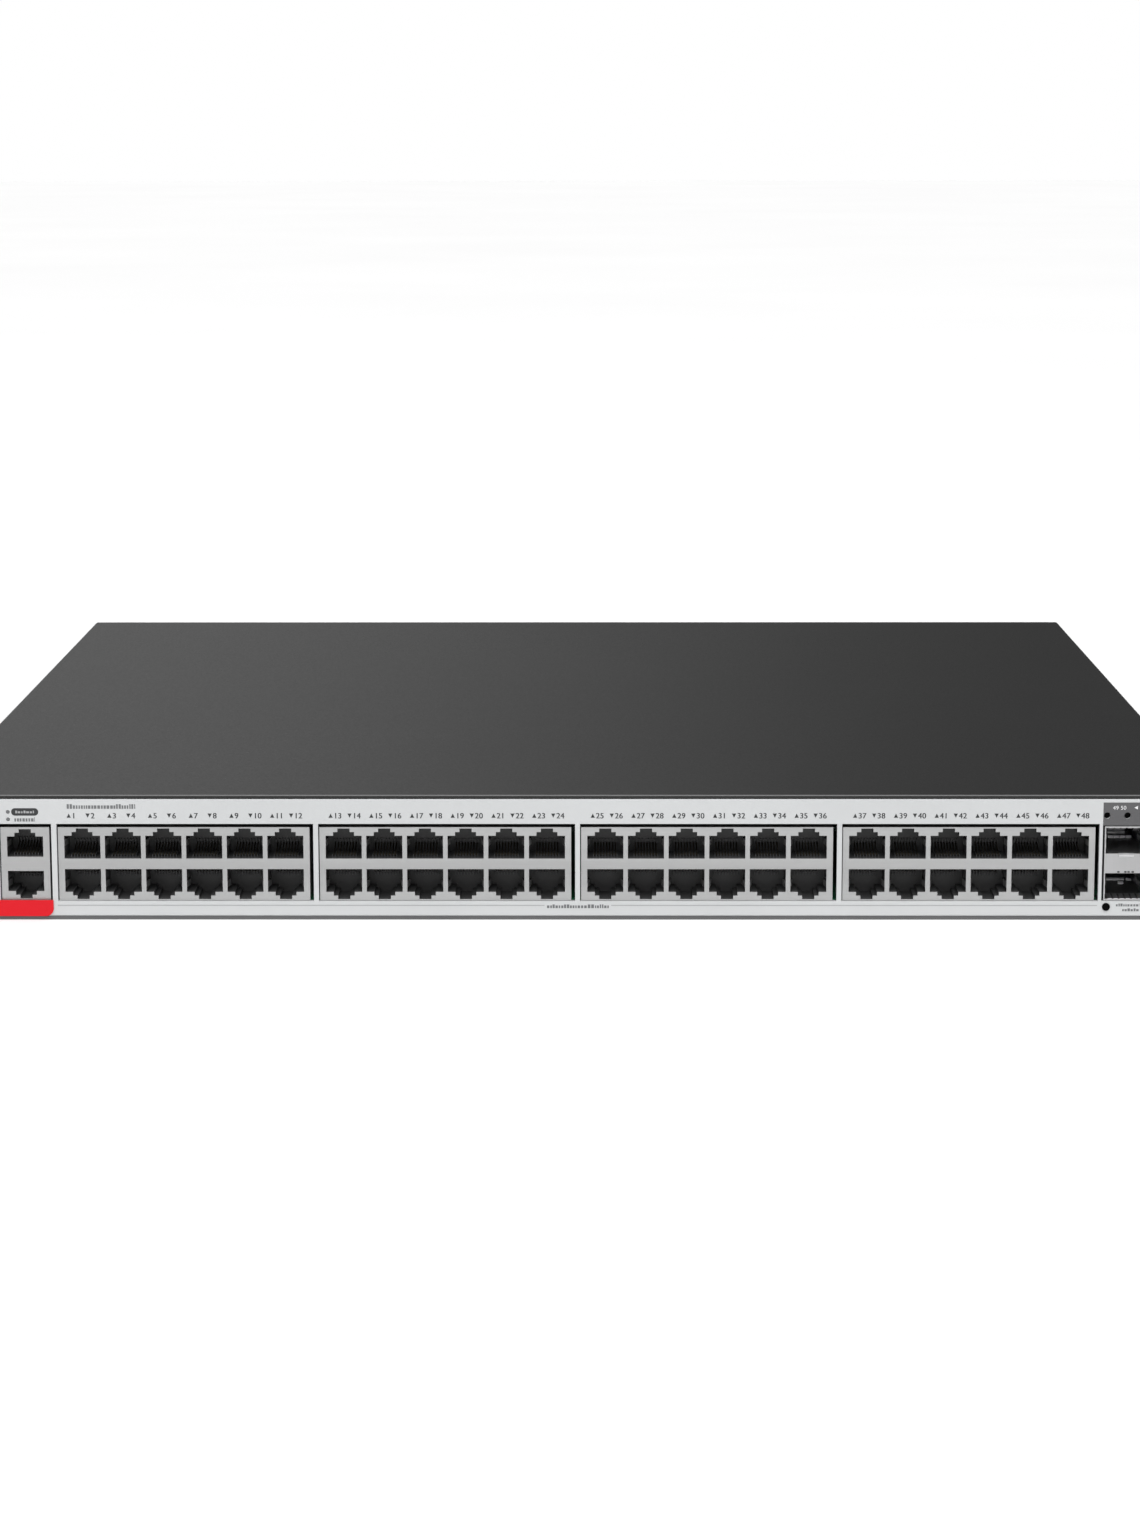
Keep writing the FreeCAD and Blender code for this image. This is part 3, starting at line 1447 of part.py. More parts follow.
def make_inlet(name, inlet):
    """A mains inlet: a rimmed socket with its two upper corners cut off, and three blades."""
    socket = new_body(f"{name}_inlet")
    barrel = sketch_on(socket, "XZ_Plane", "flange_back")
    rectangle(barrel, *around(inlet, "inlet_width"), *around("fan_line", "inlet_height"))
    extrude(barrel, "inlet_depth", -1)
    rim = sketch_on(socket, "XZ_Plane", "flange_back")
    rim_low, rim_high = around("fan_line", "inlet_rim_height")
    rectangle(rim, *around(inlet, "inlet_rim_width"), rim_low, rim_high)
    extrude(rim, "inlet_rim", 1)
    round_edges(
        socket, "inlet_corner",
        lambda at, along: abs(along.y) > 0.99 and (near(at.z, rim_low) or near(at.z, rim_high)),
    )
    mouth = sketch_on(socket, "XZ_Plane", "flange_back + inlet_rim")
    left, right = around(inlet, "inlet_mouth_width")
    low, high = around("fan_line", "inlet_mouth_height")
    outline(mouth, [
        (left, low), (right, low), (right, f"{high} - inlet_chamfer"),
        (f"{right} - inlet_chamfer", high), (f"{left} + inlet_chamfer", high),
        (left, f"{high} - inlet_chamfer"),
    ])
    cut(mouth, "inlet_mouth_depth", -1)
    node(socket, f"{name}_inlet")

    pins = [
        block(
            f"{name}_pin_{index}", around(f"({inlet} + {x})", "inlet_pin_width"),
            ("flange_back - inlet_pin_back", "flange_back - sheet"),
            around(f"(fan_line + {z})", "inlet_pin_height"),
        )
        for index, (x, z) in enumerate(INLET_PINS)
    ]
    node(group(f"{name}_inlet_pins", pins), f"{name}_inlet_pins")


def make_supply_board(name, centre):
    """A supply's board with an edge tongue, its transformer, its capacitors and a heat-sink bar."""
    low, top = "supply_board_low", "supply_board_low + board_sheet"
    tongue_left = f"{centre} - mate_left + mate_wall + over"
    tongue_right = f"{centre} + mate_right - mate_wall - over"
    tongue = block(
        f"{name}_tongue", (tongue_left, tongue_right),
        ("backplane_face + mate_wall + fit", "bay_front + mate_wall"), (low, top),
    )
    plate = block(
        f"{name}_plate", around(centre, "2 * supply_board_half_width"),
        ("bay_front + mate_wall", "rear - supply_board_rear"), (low, top),
    )
    coil = block(
        f"{name}_coil", around(f"({centre} + supply_coil_offset)", "supply_coil_width"),
        around("supply_coil_line", "supply_coil_depth"), (top, "supply_coil_high"),
    )
    tanks = [
        rod(
            f"{name}_tank_{index}", "z", "tank_radius", top, "tank_height",
            x=f"{centre} + {step} * tank_pitch", y="tank_line",
        )
        for index, step in enumerate(TANKS)
    ]
    bar = block(
        f"{name}_bar", around(f"({centre} - supply_bar_offset)", "supply_bar_width"),
        around("supply_bar_line", "supply_bar_length"), (top, "supply_bar_high"),
    )
    whole = join(f"{name}_board_solid", [tongue, plate])
    node(group(f"{name}_board", [whole, coil, bar, *tanks]), f"{name}_board")


def make_supply(number):
    """One slide-in power supply, with its own fan, mains inlet, handle and release latch."""
    name = f"supply_{number}"
    centre = f"(supply_first + {number - 1} * supply_pitch)"
    latch = f"({centre} + latch_offset)"
    make_case(name, centre, latch)
    make_handle(name, centre)
    make_latch(name, around(centre, "supply_width")[1], latch)
    make_inlet(name, f"({centre} + inlet_offset)")
    make_fan(f"{name}_fan", f"({centre} + supply_fan_offset)", "rear")
    make_supply_board(name, centre)


# ---------------------------------------------------------------- fan tray


def make_fan_tray():
    tray = new_body("fan_tray")
    left, right = around("tray_centre", "tray_width")
    channel = sketch_on(tray, "XZ_Plane", "rear")
    outline(channel, [
        (left, "tray_low"), (right, "tray_low"), (right, "tray_high"),
        (f"{right} - supply_sheet", "tray_high"), (f"{right} - supply_sheet", "tray_low + supply_sheet"),
        (f"{left} + supply_sheet", "tray_low + supply_sheet"),
        (f"{left} + supply_sheet", "tray_high"), (left, "tray_high"),
    ])
    extrude(channel, "tray_length", -1)
    face = sketch_on(tray, "XZ_Plane", "flange_back")
    rectangle(
        face, "tray_centre - tray_face_left", f"{right} + floor_sheet", "tray_face_low", "tray_face_high"
    )
    extrude(face, "flange_sheet", -1)
    for side in (-1, 1):
        cut_grille(tray, f"(tray_centre + {side} * tray_fan_offset)", "flange_back", "flange_sheet")
    hole = sketch_on(tray, "XZ_Plane", "flange_back")
    circle(hole, "knob_across", "fan_line", "knob_shank + 6 * fit")
    cut(hole, "flange_sheet", -1)
    node(tray, "fan_tray")

    place = {"x": "knob_across", "z": "fan_line"}
    grip = rod("knob_grip", "y", "knob_radius", "flange_back + knob_gap", "knob_length", **place)
    shank = rod("knob_shank", "y", "knob_shank", "rear - knob_shank_reach", "knob_shank_reach + 2", **place)
    end = "flange_back + knob_gap + knob_length"
    slot = block(
        "knob_slot", around("knob_across", "2 * knob_radius + 2 * over"),
        (f"{end} - knob_slot", f"{end} + over"), around("fan_line", "knob_slot"),
    )
    node(take("tray_thumbscrew", join("knob_solid", [grip, shank]), slot), "tray_thumbscrew")
    for side, label in ((-1, "a"), (1, "b")):
        make_fan(f"tray_fan_{label}", f"(tray_centre + {side} * tray_fan_offset)", "rear")


def make_ground_screw():
    place = {"x": "ground_across", "z": "ground_line"}
    under_head = "rear + ground_washer_sheet"
    washer = rod("ground_washer", "y", "ground_washer", "rear", "ground_washer_sheet", **place)
    head = rod("ground_head", "y", "ground_head", under_head, "ground_rise", **place)
    shank = rod("ground_shank", "y", "ground_shank", "rear - ground_reach", "ground_reach + sheet", **place)
    slot = block(
        "ground_slot", around("ground_across", "2 * ground_washer"),
        (f"{under_head} + ground_rise - ground_slot", f"{under_head} + ground_rise + over"),
        around("ground_line", "ground_slot"),
    )
    node(take("ground_screw", join("ground_solid", [washer, head, shank]), slot), "ground_screw")


# ---------------------------------------------------------------- build and export


def check_and_export():
    doc.recompute()
    failed = [o.Name for o in doc.Objects if "Invalid" in o.State or "Error" in o.State]
    failed += [n.Label for n in nodes if n.Shape.isNull() or not n.Shape.isValid() or not n.Shape.Solids]
    if failed:
        raise SystemExit(f"these objects failed: {failed}")
    os.makedirs("parts", exist_ok=True)
    for old in os.listdir("parts"):
        os.remove(os.path.join("parts", old))
    for target in nodes:
        target.Shape.exportStep(f"parts/{target.Label}.step")
    print(f"{len(nodes)} nodes, {sum(len(n.Shape.Solids) for n in nodes)} solids")


make_base_tray()
make_top_cover()
make_front_panel()
make_badge_and_label()
make_ears()
make_side_screws()
make_front_connectors()
make_lamps_and_button()
make_main_board()
make_chips()
make_poe_board()
make_backplane()
make_supply(1)
make_supply(2)
make_fan_tray()
make_ground_screw()
check_and_export()
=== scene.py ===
import json
import math
import random

import bpy
from mathutils import Matrix, Vector


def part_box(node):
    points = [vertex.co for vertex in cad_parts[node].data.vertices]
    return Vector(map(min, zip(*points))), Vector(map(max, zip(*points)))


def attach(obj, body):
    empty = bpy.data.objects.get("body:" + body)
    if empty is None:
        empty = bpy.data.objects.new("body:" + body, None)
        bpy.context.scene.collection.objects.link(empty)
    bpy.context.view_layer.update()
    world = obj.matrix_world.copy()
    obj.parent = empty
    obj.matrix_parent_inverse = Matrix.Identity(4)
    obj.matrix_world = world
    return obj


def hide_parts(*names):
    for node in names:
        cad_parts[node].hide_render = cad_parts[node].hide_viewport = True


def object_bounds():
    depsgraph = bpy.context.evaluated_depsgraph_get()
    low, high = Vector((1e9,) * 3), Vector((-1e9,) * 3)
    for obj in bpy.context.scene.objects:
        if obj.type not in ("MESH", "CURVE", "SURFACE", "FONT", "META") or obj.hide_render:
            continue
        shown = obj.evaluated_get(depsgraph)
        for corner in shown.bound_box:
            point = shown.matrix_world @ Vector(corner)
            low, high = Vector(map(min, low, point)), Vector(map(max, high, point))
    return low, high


# The looks of a 1U rackmount network switch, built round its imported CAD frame.
# Metres. +Z is up, and the ports face -Y.

MM = 0.001

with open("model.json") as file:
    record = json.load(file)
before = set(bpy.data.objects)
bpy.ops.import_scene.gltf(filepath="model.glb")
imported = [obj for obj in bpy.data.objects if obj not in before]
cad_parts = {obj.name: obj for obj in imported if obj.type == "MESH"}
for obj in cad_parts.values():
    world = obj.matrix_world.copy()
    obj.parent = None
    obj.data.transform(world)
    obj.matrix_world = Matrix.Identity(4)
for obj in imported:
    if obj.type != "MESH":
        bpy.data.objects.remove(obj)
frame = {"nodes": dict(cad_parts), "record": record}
cad_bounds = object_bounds()

# ---------------------------------------------------------------- sizes, and places from the frame

PORT_COLUMNS = 6
GROUPS = 4
PORT_PITCH = 13.97 * MM
PORT_WIDTH = 12.4 * MM
PORT_HEIGHT = 8.0 * MM
PORT_BAR = 3.7 * MM
SERVICE_HEIGHT = 7.1 * MM
SERVICE_BAR = 5.0 * MM
CONTACTS = 8
CONTACT_PITCH = 1.02 * MM

LAMP_LINE = 36.5 * MM
LAMP_UP = 1.9 * MM
LAMP_DOWN = 8.4 * MM
SERVICE_LAMP = 2.9 * MM
SERVICE_LAMP_RISE = 1.3 * MM
SERVICE_LAMP_WIDTH = 1.2 * MM

CAGE_PITCH = 14.25 * MM
MOUTH_WIDTH = 14.1 * MM
MOUTH_HEIGHT = 9.0 * MM
UPPER_MOUTHS = 27.6 * MM
LOWER_MOUTHS = 11.7 * MM

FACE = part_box("front_panel")[0].y
cage_low, cage_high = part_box("uplink_cage")


def stack_ports(node, columns, bar):
    """(x, z, side) of each jack in a stack: its middle, its contact wall, and 1 for up or -1 for down."""
    low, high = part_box(node)
    middle = (low + high) / 2
    return [
        (middle.x + (column - (columns - 1) / 2) * PORT_PITCH, middle.z + side * bar / 2, side)
        for column in range(columns)
        for side in (1, -1)
    ]


def cage_mouths():
    """(x, z, side) of the middle of each uplink mouth: side is 1 in the upper row and -1 in the lower."""
    middle = (cage_low.x + cage_high.x) / 2
    return [
        (middle + offset * CAGE_PITCH / 2, z, side)
        for offset in (-1, 1)
        for z, side in ((UPPER_MOUTHS, 1), (LOWER_MOUTHS, -1))
    ]


STACKS = [f"port_shield_{index}" for index in range(1, GROUPS + 1)]
PORTS = [port for stack in STACKS for port in stack_ports(stack, PORT_COLUMNS, PORT_BAR)]
SERVICE_PORTS = stack_ports("management_shield", 1, SERVICE_BAR)


# ---------------------------------------------------------------- mesh helpers


def piece(name, vertices, faces, body, finish):
    """A mesh object that rides on a body. Its finish is also its slot, where the record has such a slot."""
    mesh = bpy.data.meshes.new(name)
    mesh.from_pydata(vertices, [], faces)
    mesh.validate()
    mesh.update()
    made = bpy.data.objects.new(name, mesh)
    bpy.context.scene.collection.objects.link(made)
    made.data.materials.append(FINISHES[finish])
    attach(made, body)
    return made


class Parts:
    """Vertices and faces that are gathered up into one piece."""

    def __init__(self):
        self.vertices = []
        self.faces = []

    def add(self, vertices, faces):
        start = len(self.vertices)
        self.vertices += vertices
        self.faces += [[start + index for index in face] for face in faces]

    def prism(self, outline, low, high):
        """A flat outline of (x, z) points, made solid between two places along Y."""
        count = len(outline)
        front = [(x, low, z) for x, z in outline]
        back = [(x, high, z) for x, z in outline]
        sides = [[i, (i + 1) % count, count + (i + 1) % count, count + i] for i in range(count)]
        self.add(front + back, [list(range(count))[::-1], list(range(count, 2 * count)), *sides])

    def ribbon(self, path, across, thickness):
        """A strip bent along a path of points. The vector across is half its width."""
        rings = []
        for index, point in enumerate(path):
            before, after = path[max(index - 1, 0)], path[min(index + 1, len(path) - 1)]
            normal = (after - before).cross(across).normalized() * thickness / 2
            rings.append([
                point + across + normal, point - across + normal,
                point - across - normal, point + across - normal,
            ])
        vertices = [tuple(v) for ring in rings for v in ring]
        faces = [[3, 2, 1, 0], [len(vertices) - 4 + i for i in range(4)]]
        for start in range(0, len(vertices) - 4, 4):
            faces += [
                [start + i, start + (i + 1) % 4, start + 4 + (i + 1) % 4, start + 4 + i] for i in range(4)
            ]
        self.add(vertices, faces)

    def make(self, name, body, finish):
        return piece(name, self.vertices, self.faces, body, finish)


def upright_bend(x, y, z, profile, side=1):
    """A path in an upright plane from a point, through a profile's (inwards, up) millimetres."""
    return [Vector((x, y + inwards * MM, z + side * up * MM)) for inwards, up in profile]


def level_bend(x, y, z, profile, edge):
    """A path at one height from a point, through a profile's (inwards, off the wall) millimetres."""
    return [Vector((x - edge * off * MM, y + inwards * MM, z)) for inwards, off in profile]


def rounded(x, z, width, height, radius, steps=6):
    """The outline of a rounded rectangle round a middle point."""
    outline = []
    for corner, (sx, sz) in enumerate(((1, 1), (-1, 1), (-1, -1), (1, -1))):
        for step in range(steps + 1):
            turn = math.pi / 2 * (corner + step / steps)
            outline.append((
                x + sx * (width / 2 - radius) + radius * math.cos(turn),
                z + sz * (height / 2 - radius) + radius * math.sin(turn),
            ))
    return outline[::-1]


def dash(x_low, x_high, z_low, z_high):
    """The outline of a plain rectangle."""
    return [(x_low, z_low), (x_low, z_high), (x_high, z_high), (x_high, z_low)]


# ---------------------------------------------------------------- material helpers

FINISHES = {}


def new_material(name):
    """A new finish, with its nodes, its links and its shader."""
    made = bpy.data.materials.new(name)
    made.use_nodes = True
    FINISHES[name] = made
    nodes = made.node_tree.nodes
    return nodes, made.node_tree.links, nodes["Principled BSDF"]


def coordinates(nodes, links, scale=(1, 1, 1)):
    """Object coordinates, which on every piece are the frame's own metres."""
    source = nodes.new("ShaderNodeTexCoord")
    mapping = nodes.new("ShaderNodeMapping")
    mapping.inputs["Scale"].default_value = scale
    links.new(source.outputs["Object"], mapping.inputs["Vector"])
    return mapping.outputs["Vector"]


def noise(nodes, links, vector, scale, detail=3.0):
    made = nodes.new("ShaderNodeTexNoise")
    made.inputs["Scale"].default_value = scale
    made.inputs["Detail"].default_value = detail
    made.inputs["Roughness"].default_value = 0.55
    links.new(vector, made.inputs["Vector"])
    return made.outputs["Fac"]


def cells(nodes, links, vector, scale):
    """A pattern of irregular cells."""
    made = nodes.new("ShaderNodeTexVoronoi")
    made.inputs["Scale"].default_value = scale
    links.new(vector, made.inputs["Vector"])
    return made


def shade(colour, by):
    return tuple(min(1.0, channel * by) for channel in colour)


def ramp(nodes, links, factor, stops):
    """A colour ramp through two (place, colour) stops."""
    made = nodes.new("ShaderNodeValToRGB")
    for element, (place, colour) in zip(made.color_ramp.elements, stops):
        element.position = place
        element.color = (*colour, 1)
    links.new(factor, made.inputs["Fac"])
    return made.outputs["Color"]


def ranged(nodes, links, value, low, high, start, end, step="SMOOTHSTEP"):
    """A step in a value, from start at low to end at high."""
    made = nodes.new("ShaderNodeMapRange")
    made.interpolation_type = step
    for socket, number in (("From Min", low), ("From Max", high), ("To Min", start), ("To Max", end)):
        made.inputs[socket].default_value = number
    links.new(value, made.inputs["Value"])
    return made.outputs["Result"]


def spread(nodes, links, factor, low, high):
    """A noise's usual span, from 0.3 to 0.7, stretched from low to high."""
    return ranged(nodes, links, factor, 0.3, 0.7, low, high, "LINEAR")


def laid_over(nodes, links, factor, below, colour):
    """A colour that covers the one below it by a factor."""
    made = nodes.new("ShaderNodeMix")
    made.data_type = "RGBA"
    links.new(factor, made.inputs["Factor"])
    links.new(below, made.inputs["A"])
    made.inputs["B"].default_value = (*colour, 1)
    return made.outputs["Result"]


def bump(nodes, links, height, strength, distance, shader):
    made = nodes.new("ShaderNodeBump")
    made.inputs["Strength"].default_value = strength
    made.inputs["Distance"].default_value = distance
    links.new(height, made.inputs["Height"])
    links.new(made.outputs["Normal"], shader.inputs["Normal"])


# ---------------------------------------------------------------- kinds of material


def coated(
    name, colour, roughness, variation, grain, depth,
    metallic=0.0, specular=0.5, cloud=14.0, stretch=(1, 1, 1),
):
    """A painted, moulded or plated surface: its colour drifts a little, and its grain shows in the gloss.

    Grain and cloud are the scales, per metre, at which the gloss and the colour vary. Depth is the grain's
    own, in millimetres.
    """
    nodes, links, shader = new_material(name)
    vector = coordinates(nodes, links, stretch)
    broad = noise(nodes, links, vector, cloud, 4.0)
    fine = noise(nodes, links, vector, grain, 2.0)
    stops = [(0.3, shade(colour, 1 - variation)), (0.7, shade(colour, 1 + variation))]
    gloss = spread(nodes, links, fine, roughness * 0.85, min(1.0, roughness * 1.15))
    links.new(ramp(nodes, links, broad, stops), shader.inputs["Base Color"])
    links.new(gloss, shader.inputs["Roughness"])
    shader.inputs["Metallic"].default_value = metallic
    shader.inputs["Specular IOR Level"].default_value = specular
    bump(nodes, links, fine, 0.35, depth * MM, shader)


def brushed(name, colour, roughness, along):
    """Rolled or brushed sheet metal, with fine lines along one axis."""
    stretch = {"x": (0.03, 1, 1), "y": (1, 0.03, 1), "z": (1, 1, 0.03)}[along]
    coated(name, colour, roughness, 0.08, 2600.0, 0.01, metallic=1.0, cloud=90.0, stretch=stretch)


def rubbed_edge(name, colour):
    """A painted highlight: the cover's paint is made lighter in a band along its rolled front edge, where
    that edge catches the light.
    """
    tree = FINISHES[name].node_tree
    nodes, links = tree.nodes, tree.links
    shader = nodes["Principled BSDF"]
    painted = shader.inputs["Base Color"].links[0].from_socket
    place = nodes.new("ShaderNodeSeparateXYZ")
    links.new(coordinates(nodes, links), place.inputs["Vector"])
    front = ranged(nodes, links, place.outputs["Y"], FACE + 0.10 * MM, FACE + 0.22 * MM, 0.0, 1.0)
    back = ranged(nodes, links, place.outputs["Y"], FACE + 0.60 * MM, FACE + 1.10 * MM, 1.0, 0.0)
    both = nodes.new("ShaderNodeMath")
    both.operation = "MULTIPLY"
    links.new(front, both.inputs[0])
    links.new(back, both.inputs[1])
    # The lighter colour over this band is a painted highlight.
    highlighted = laid_over(nodes, links, both.outputs["Value"], painted, colour)
    links.new(highlighted, shader.inputs["Base Color"])


def galvanised(name, colour, roughness):
    """Zinc-coated sheet: the crystals of its spangle differ a little in shade and gloss."""
    nodes, links, shader = new_material(name)
    vector = coordinates(nodes, links)
    spangle = cells(nodes, links, vector, 420.0)
    split = nodes.new("ShaderNodeSeparateColor")
    links.new(spangle.outputs["Color"], split.inputs["Color"])
    crystal = split.outputs["Red"]
    stops = [(0.0, shade(colour, 0.93)), (1.0, shade(colour, 1.06))]
    gloss = spread(nodes, links, crystal, roughness * 0.97, roughness * 1.03)
    links.new(ramp(nodes, links, crystal, stops), shader.inputs["Base Color"])
    links.new(gloss, shader.inputs["Roughness"])
    shader.inputs["Metallic"].default_value = 1.0
    bump(nodes, links, noise(nodes, links, vector, 1400.0), 0.25, 0.006 * MM, shader)


def circuit_board(name, colour, pad_colour):
    """Solder mask over copper: the tracks are lighter, slightly raised lines, with bare pads among them."""
    nodes, links, shader = new_material(name)
    vector = coordinates(nodes, links)
    tracks = nodes.new("ShaderNodeTexBrick")
    tracks.inputs["Scale"].default_value = 130.0
    tracks.inputs["Mortar Size"].default_value = 0.035
    for socket, by in (("Color1", 0.8), ("Color2", 1.1), ("Mortar", 2.1)):
        tracks.inputs[socket].default_value = (*shade(colour, by), 1)
    links.new(vector, tracks.inputs["Vector"])
    pads = cells(nodes, links, vector, 260.0)
    bare = nodes.new("ShaderNodeMath")
    bare.operation = "LESS_THAN"
    bare.inputs[1].default_value = 0.12
    links.new(pads.outputs["Distance"], bare.inputs[0])
    surface = laid_over(nodes, links, bare.outputs["Value"], tracks.outputs["Color"], pad_colour)
    links.new(surface, shader.inputs["Base Color"])
    links.new(bare.outputs["Value"], shader.inputs["Metallic"])
    shader.inputs["Roughness"].default_value = 0.35
    bump(nodes, links, tracks.outputs["Fac"], 0.4, 0.03 * MM, shader)


# ---------------------------------------------------------------- finishes


def build_finishes():
    """A material for each of the record's slots, and for the print and springs that only the looks have."""
    coated("cover_paint", (0.016, 0.016, 0.016), 0.32, 0.05, 1500.0, 0.03, specular=0.3)
    # Painted highlight: a lighter band of paint along the cover's front edge.
    rubbed_edge("cover_paint", (0.20, 0.20, 0.20))
    coated("tray_steel", (0.11, 0.11, 0.112), 0.5, 0.08, 1500.0, 0.03, specular=0.3)
    coated("panel_paint", (0.525, 0.535, 0.54), 0.42, 0.025, 1800.0, 0.015, specular=0.4)
    coated("badge_red", (0.60, 0.012, 0.02), 0.45, 0.04, 700.0, 0.01, specular=0.12)
    coated("label_grey", (0.085, 0.084, 0.088), 0.45, 0.05, 1400.0, 0.01)
    coated("ear_paint", (0.05, 0.05, 0.051), 0.5, 0.08, 1500.0, 0.03, specular=0.3)
    brushed("screw_steel", (0.60, 0.60, 0.61), 0.3, "z")
    coated("screw_black", (0.03, 0.03, 0.031), 0.35, 0.2, 1600.0, 0.02, metallic=0.4)

    brushed("shield_nickel", (0.47, 0.473, 0.473), 0.42, "x")
    coated("jack_black", (0.048, 0.048, 0.049), 0.42, 0.3, 1600.0, 0.03)
    # Far darker than bright gold: painted shade for the contacts deep inside the jacks.
    brushed("contact_gold", (0.16, 0.135, 0.10), 0.36, "y")
    brushed("finger_nickel", (0.78, 0.78, 0.79), 0.32, "x")
    # A dark copy of the finger nickel: painted shade on the leaves inside the upper mouths.
    brushed("finger_painted_shade", (0.09, 0.09, 0.093), 0.45, "x")
    brushed("cage_nickel", (0.48, 0.48, 0.485), 0.36, "z")
    coated("lamp_clear", (0.022, 0.024, 0.024), 0.3, 0.1, 900.0, 0.01)
    coated("lamp_lens", (0.002, 0.002, 0.002), 0.45, 0.1, 900.0, 0.01, specular=0.03)
    coated("button_black", (0.002, 0.002, 0.002), 0.5, 0.2, 1500.0, 0.02, specular=0.03)
    coated("switch_body", (0.03, 0.03, 0.03), 0.5, 0.2, 1200.0, 0.02)

    circuit_board("board_green", (0.012, 0.11, 0.045), (0.62, 0.58, 0.48))
    coated("chip_black", (0.018, 0.018, 0.02), 0.55, 0.2, 1800.0, 0.03)
    brushed("standoff_brass", (0.80, 0.60, 0.30), 0.3, "x")
    brushed("sink_aluminium", (0.74, 0.75, 0.76), 0.35, "y")
    coated("connector_black", (0.02, 0.02, 0.021), 0.5, 0.2, 1200.0, 0.02)
    galvanised("wall_steel", (0.56, 0.57, 0.58), 0.4)

    galvanised("supply_steel", (0.58, 0.59, 0.60), 0.38)
    coated("handle_steel", (0.02, 0.02, 0.021), 0.35, 0.2, 1500.0, 0.02)
    coated("latch_red", (0.55, 0.02, 0.02), 0.35, 0.08, 900.0, 0.02)
    coated("inlet_black", (0.016, 0.016, 0.017), 0.45, 0.2, 1500.0, 0.03)
    brushed("pin_brass", (0.78, 0.74, 0.66), 0.3, "y")
    coated("fan_black", (0.018, 0.018, 0.019), 0.5, 0.2, 1300.0, 0.03)
    coated("rotor_black", (0.024, 0.024, 0.026), 0.45, 0.2, 1300.0, 0.03)
    galvanised("fan_tray_steel", (0.58, 0.59, 0.60), 0.38)
    brushed("knob_steel", (0.62, 0.62, 0.62), 0.3, "y")

    coated("print_dark", (0.022, 0.023, 0.025), 0.5, 0.15, 2500.0, 0.005)
    coated("print_grey", (0.13, 0.133, 0.137), 0.5, 0.1, 2500.0, 0.005)
    coated("print_white", (0.72, 0.72, 0.73), 0.5, 0.05, 2500.0, 0.005)
    coated("print_pale", (0.34, 0.345, 0.35), 0.5, 0.05, 2500.0, 0.005)


def finish_nodes():
    """Each CAD node gets the material of its slot in the record."""
    for entry in frame["record"]["subparts"]:
        materials = frame["nodes"][entry["node"]].data.materials
        materials.clear()
        materials.append(FINISHES[entry["material_slot"]])


# ---------------------------------------------------------------- print

INK = 0.03 * MM
DIGIT_HEIGHT = 1.9 * MM
DIGIT_WEIGHT = 0.12 * MM
DIGIT_GAP = 1.0 * MM
DIGIT_SHARE = 0.7
PANEL_RULE = (4.85 * MM, 5.2 * MM)
RULE_BREAK = (-9.0 * MM, 13.9 * MM)
LABEL_LINE = 39.3 * MM


def printed(parts, outline, face=FACE):
    """An outline as a layer of ink, lying on a face that looks along -Y."""
    parts.prism(outline, face - INK, face - INK / 10)


def digits(text, x, z, height, face=FACE, turned=False):
    """Numerals lying on a face that looks along -Y, or along +Y where turned is set.

    They start at x, and they are DIGIT_SHARE of the font's size tall.
    """
    curve = bpy.data.curves.new("digits", "FONT")
    curve.body = text
    curve.size = height / DIGIT_SHARE
    curve.extrude = INK / 2
    curve.space_character = 1.05
    made = bpy.data.objects.new("digits", curve)
    bpy.context.scene.collection.objects.link(made)
    made.rotation_euler = (math.pi / 2, 0, math.pi if turned else 0)
    made.location = (x, face + (INK / 2 if turned else -INK / 2), z)
    bpy.context.view_layer.update()
    mesh = bpy.data.meshes.new_from_object(made.evaluated_get(bpy.context.evaluated_depsgraph_get()))
    mesh.transform(made.matrix_world)
    bpy.data.objects.remove(made)
    return mesh


def bold(mesh, weight):
    """The same numerals with a copy a little to the right, which thickens their strokes."""
    copy = mesh.copy()
    copy.transform(Matrix.Translation((weight, -INK / 20, 0)))
    return [mesh, copy]


def join_meshes(meshes, name, body, finish):
    """One piece made of several meshes, which are then removed."""
    parts = Parts()
    for mesh in meshes:
        parts.add([tuple(v.co) for v in mesh.vertices], [list(p.vertices) for p in mesh.polygons])
        bpy.data.meshes.remove(mesh)
    parts.make(name, body, finish)


def port_numbers():
    """1 to 48: odd numbers beside the lamps that point up, even ones beside those that point down."""
    meshes = []
    for index, (x, _, side) in enumerate(PORTS):
        left = x - PORT_WIDTH / 2 + (LAMP_UP if side > 0 else LAMP_DOWN) + DIGIT_GAP
        text = str(index + 1)
        meshes += bold(digits(text, left, LAMP_LINE - DIGIT_HEIGHT / 2, DIGIT_HEIGHT), DIGIT_WEIGHT)
    join_meshes(meshes, "port_numbers", "chassis", "print_dark")


def fine_print(parts, x_low, x_high, z, height, seed, face=FACE):
    """A row of plain dashes, some a little taller, where small print would be."""
    source = random.Random(seed)
    x = x_low
    while x < x_high:
        width = source.uniform(0.45, 0.95) * MM
        top = z - height / 2 + height * source.choice((0.74, 0.74, 1.0))
        printed(parts, dash(x, min(x + width, x_high), z - height / 2, top), face)
        x += width + source.uniform(0.2, 0.35) * MM


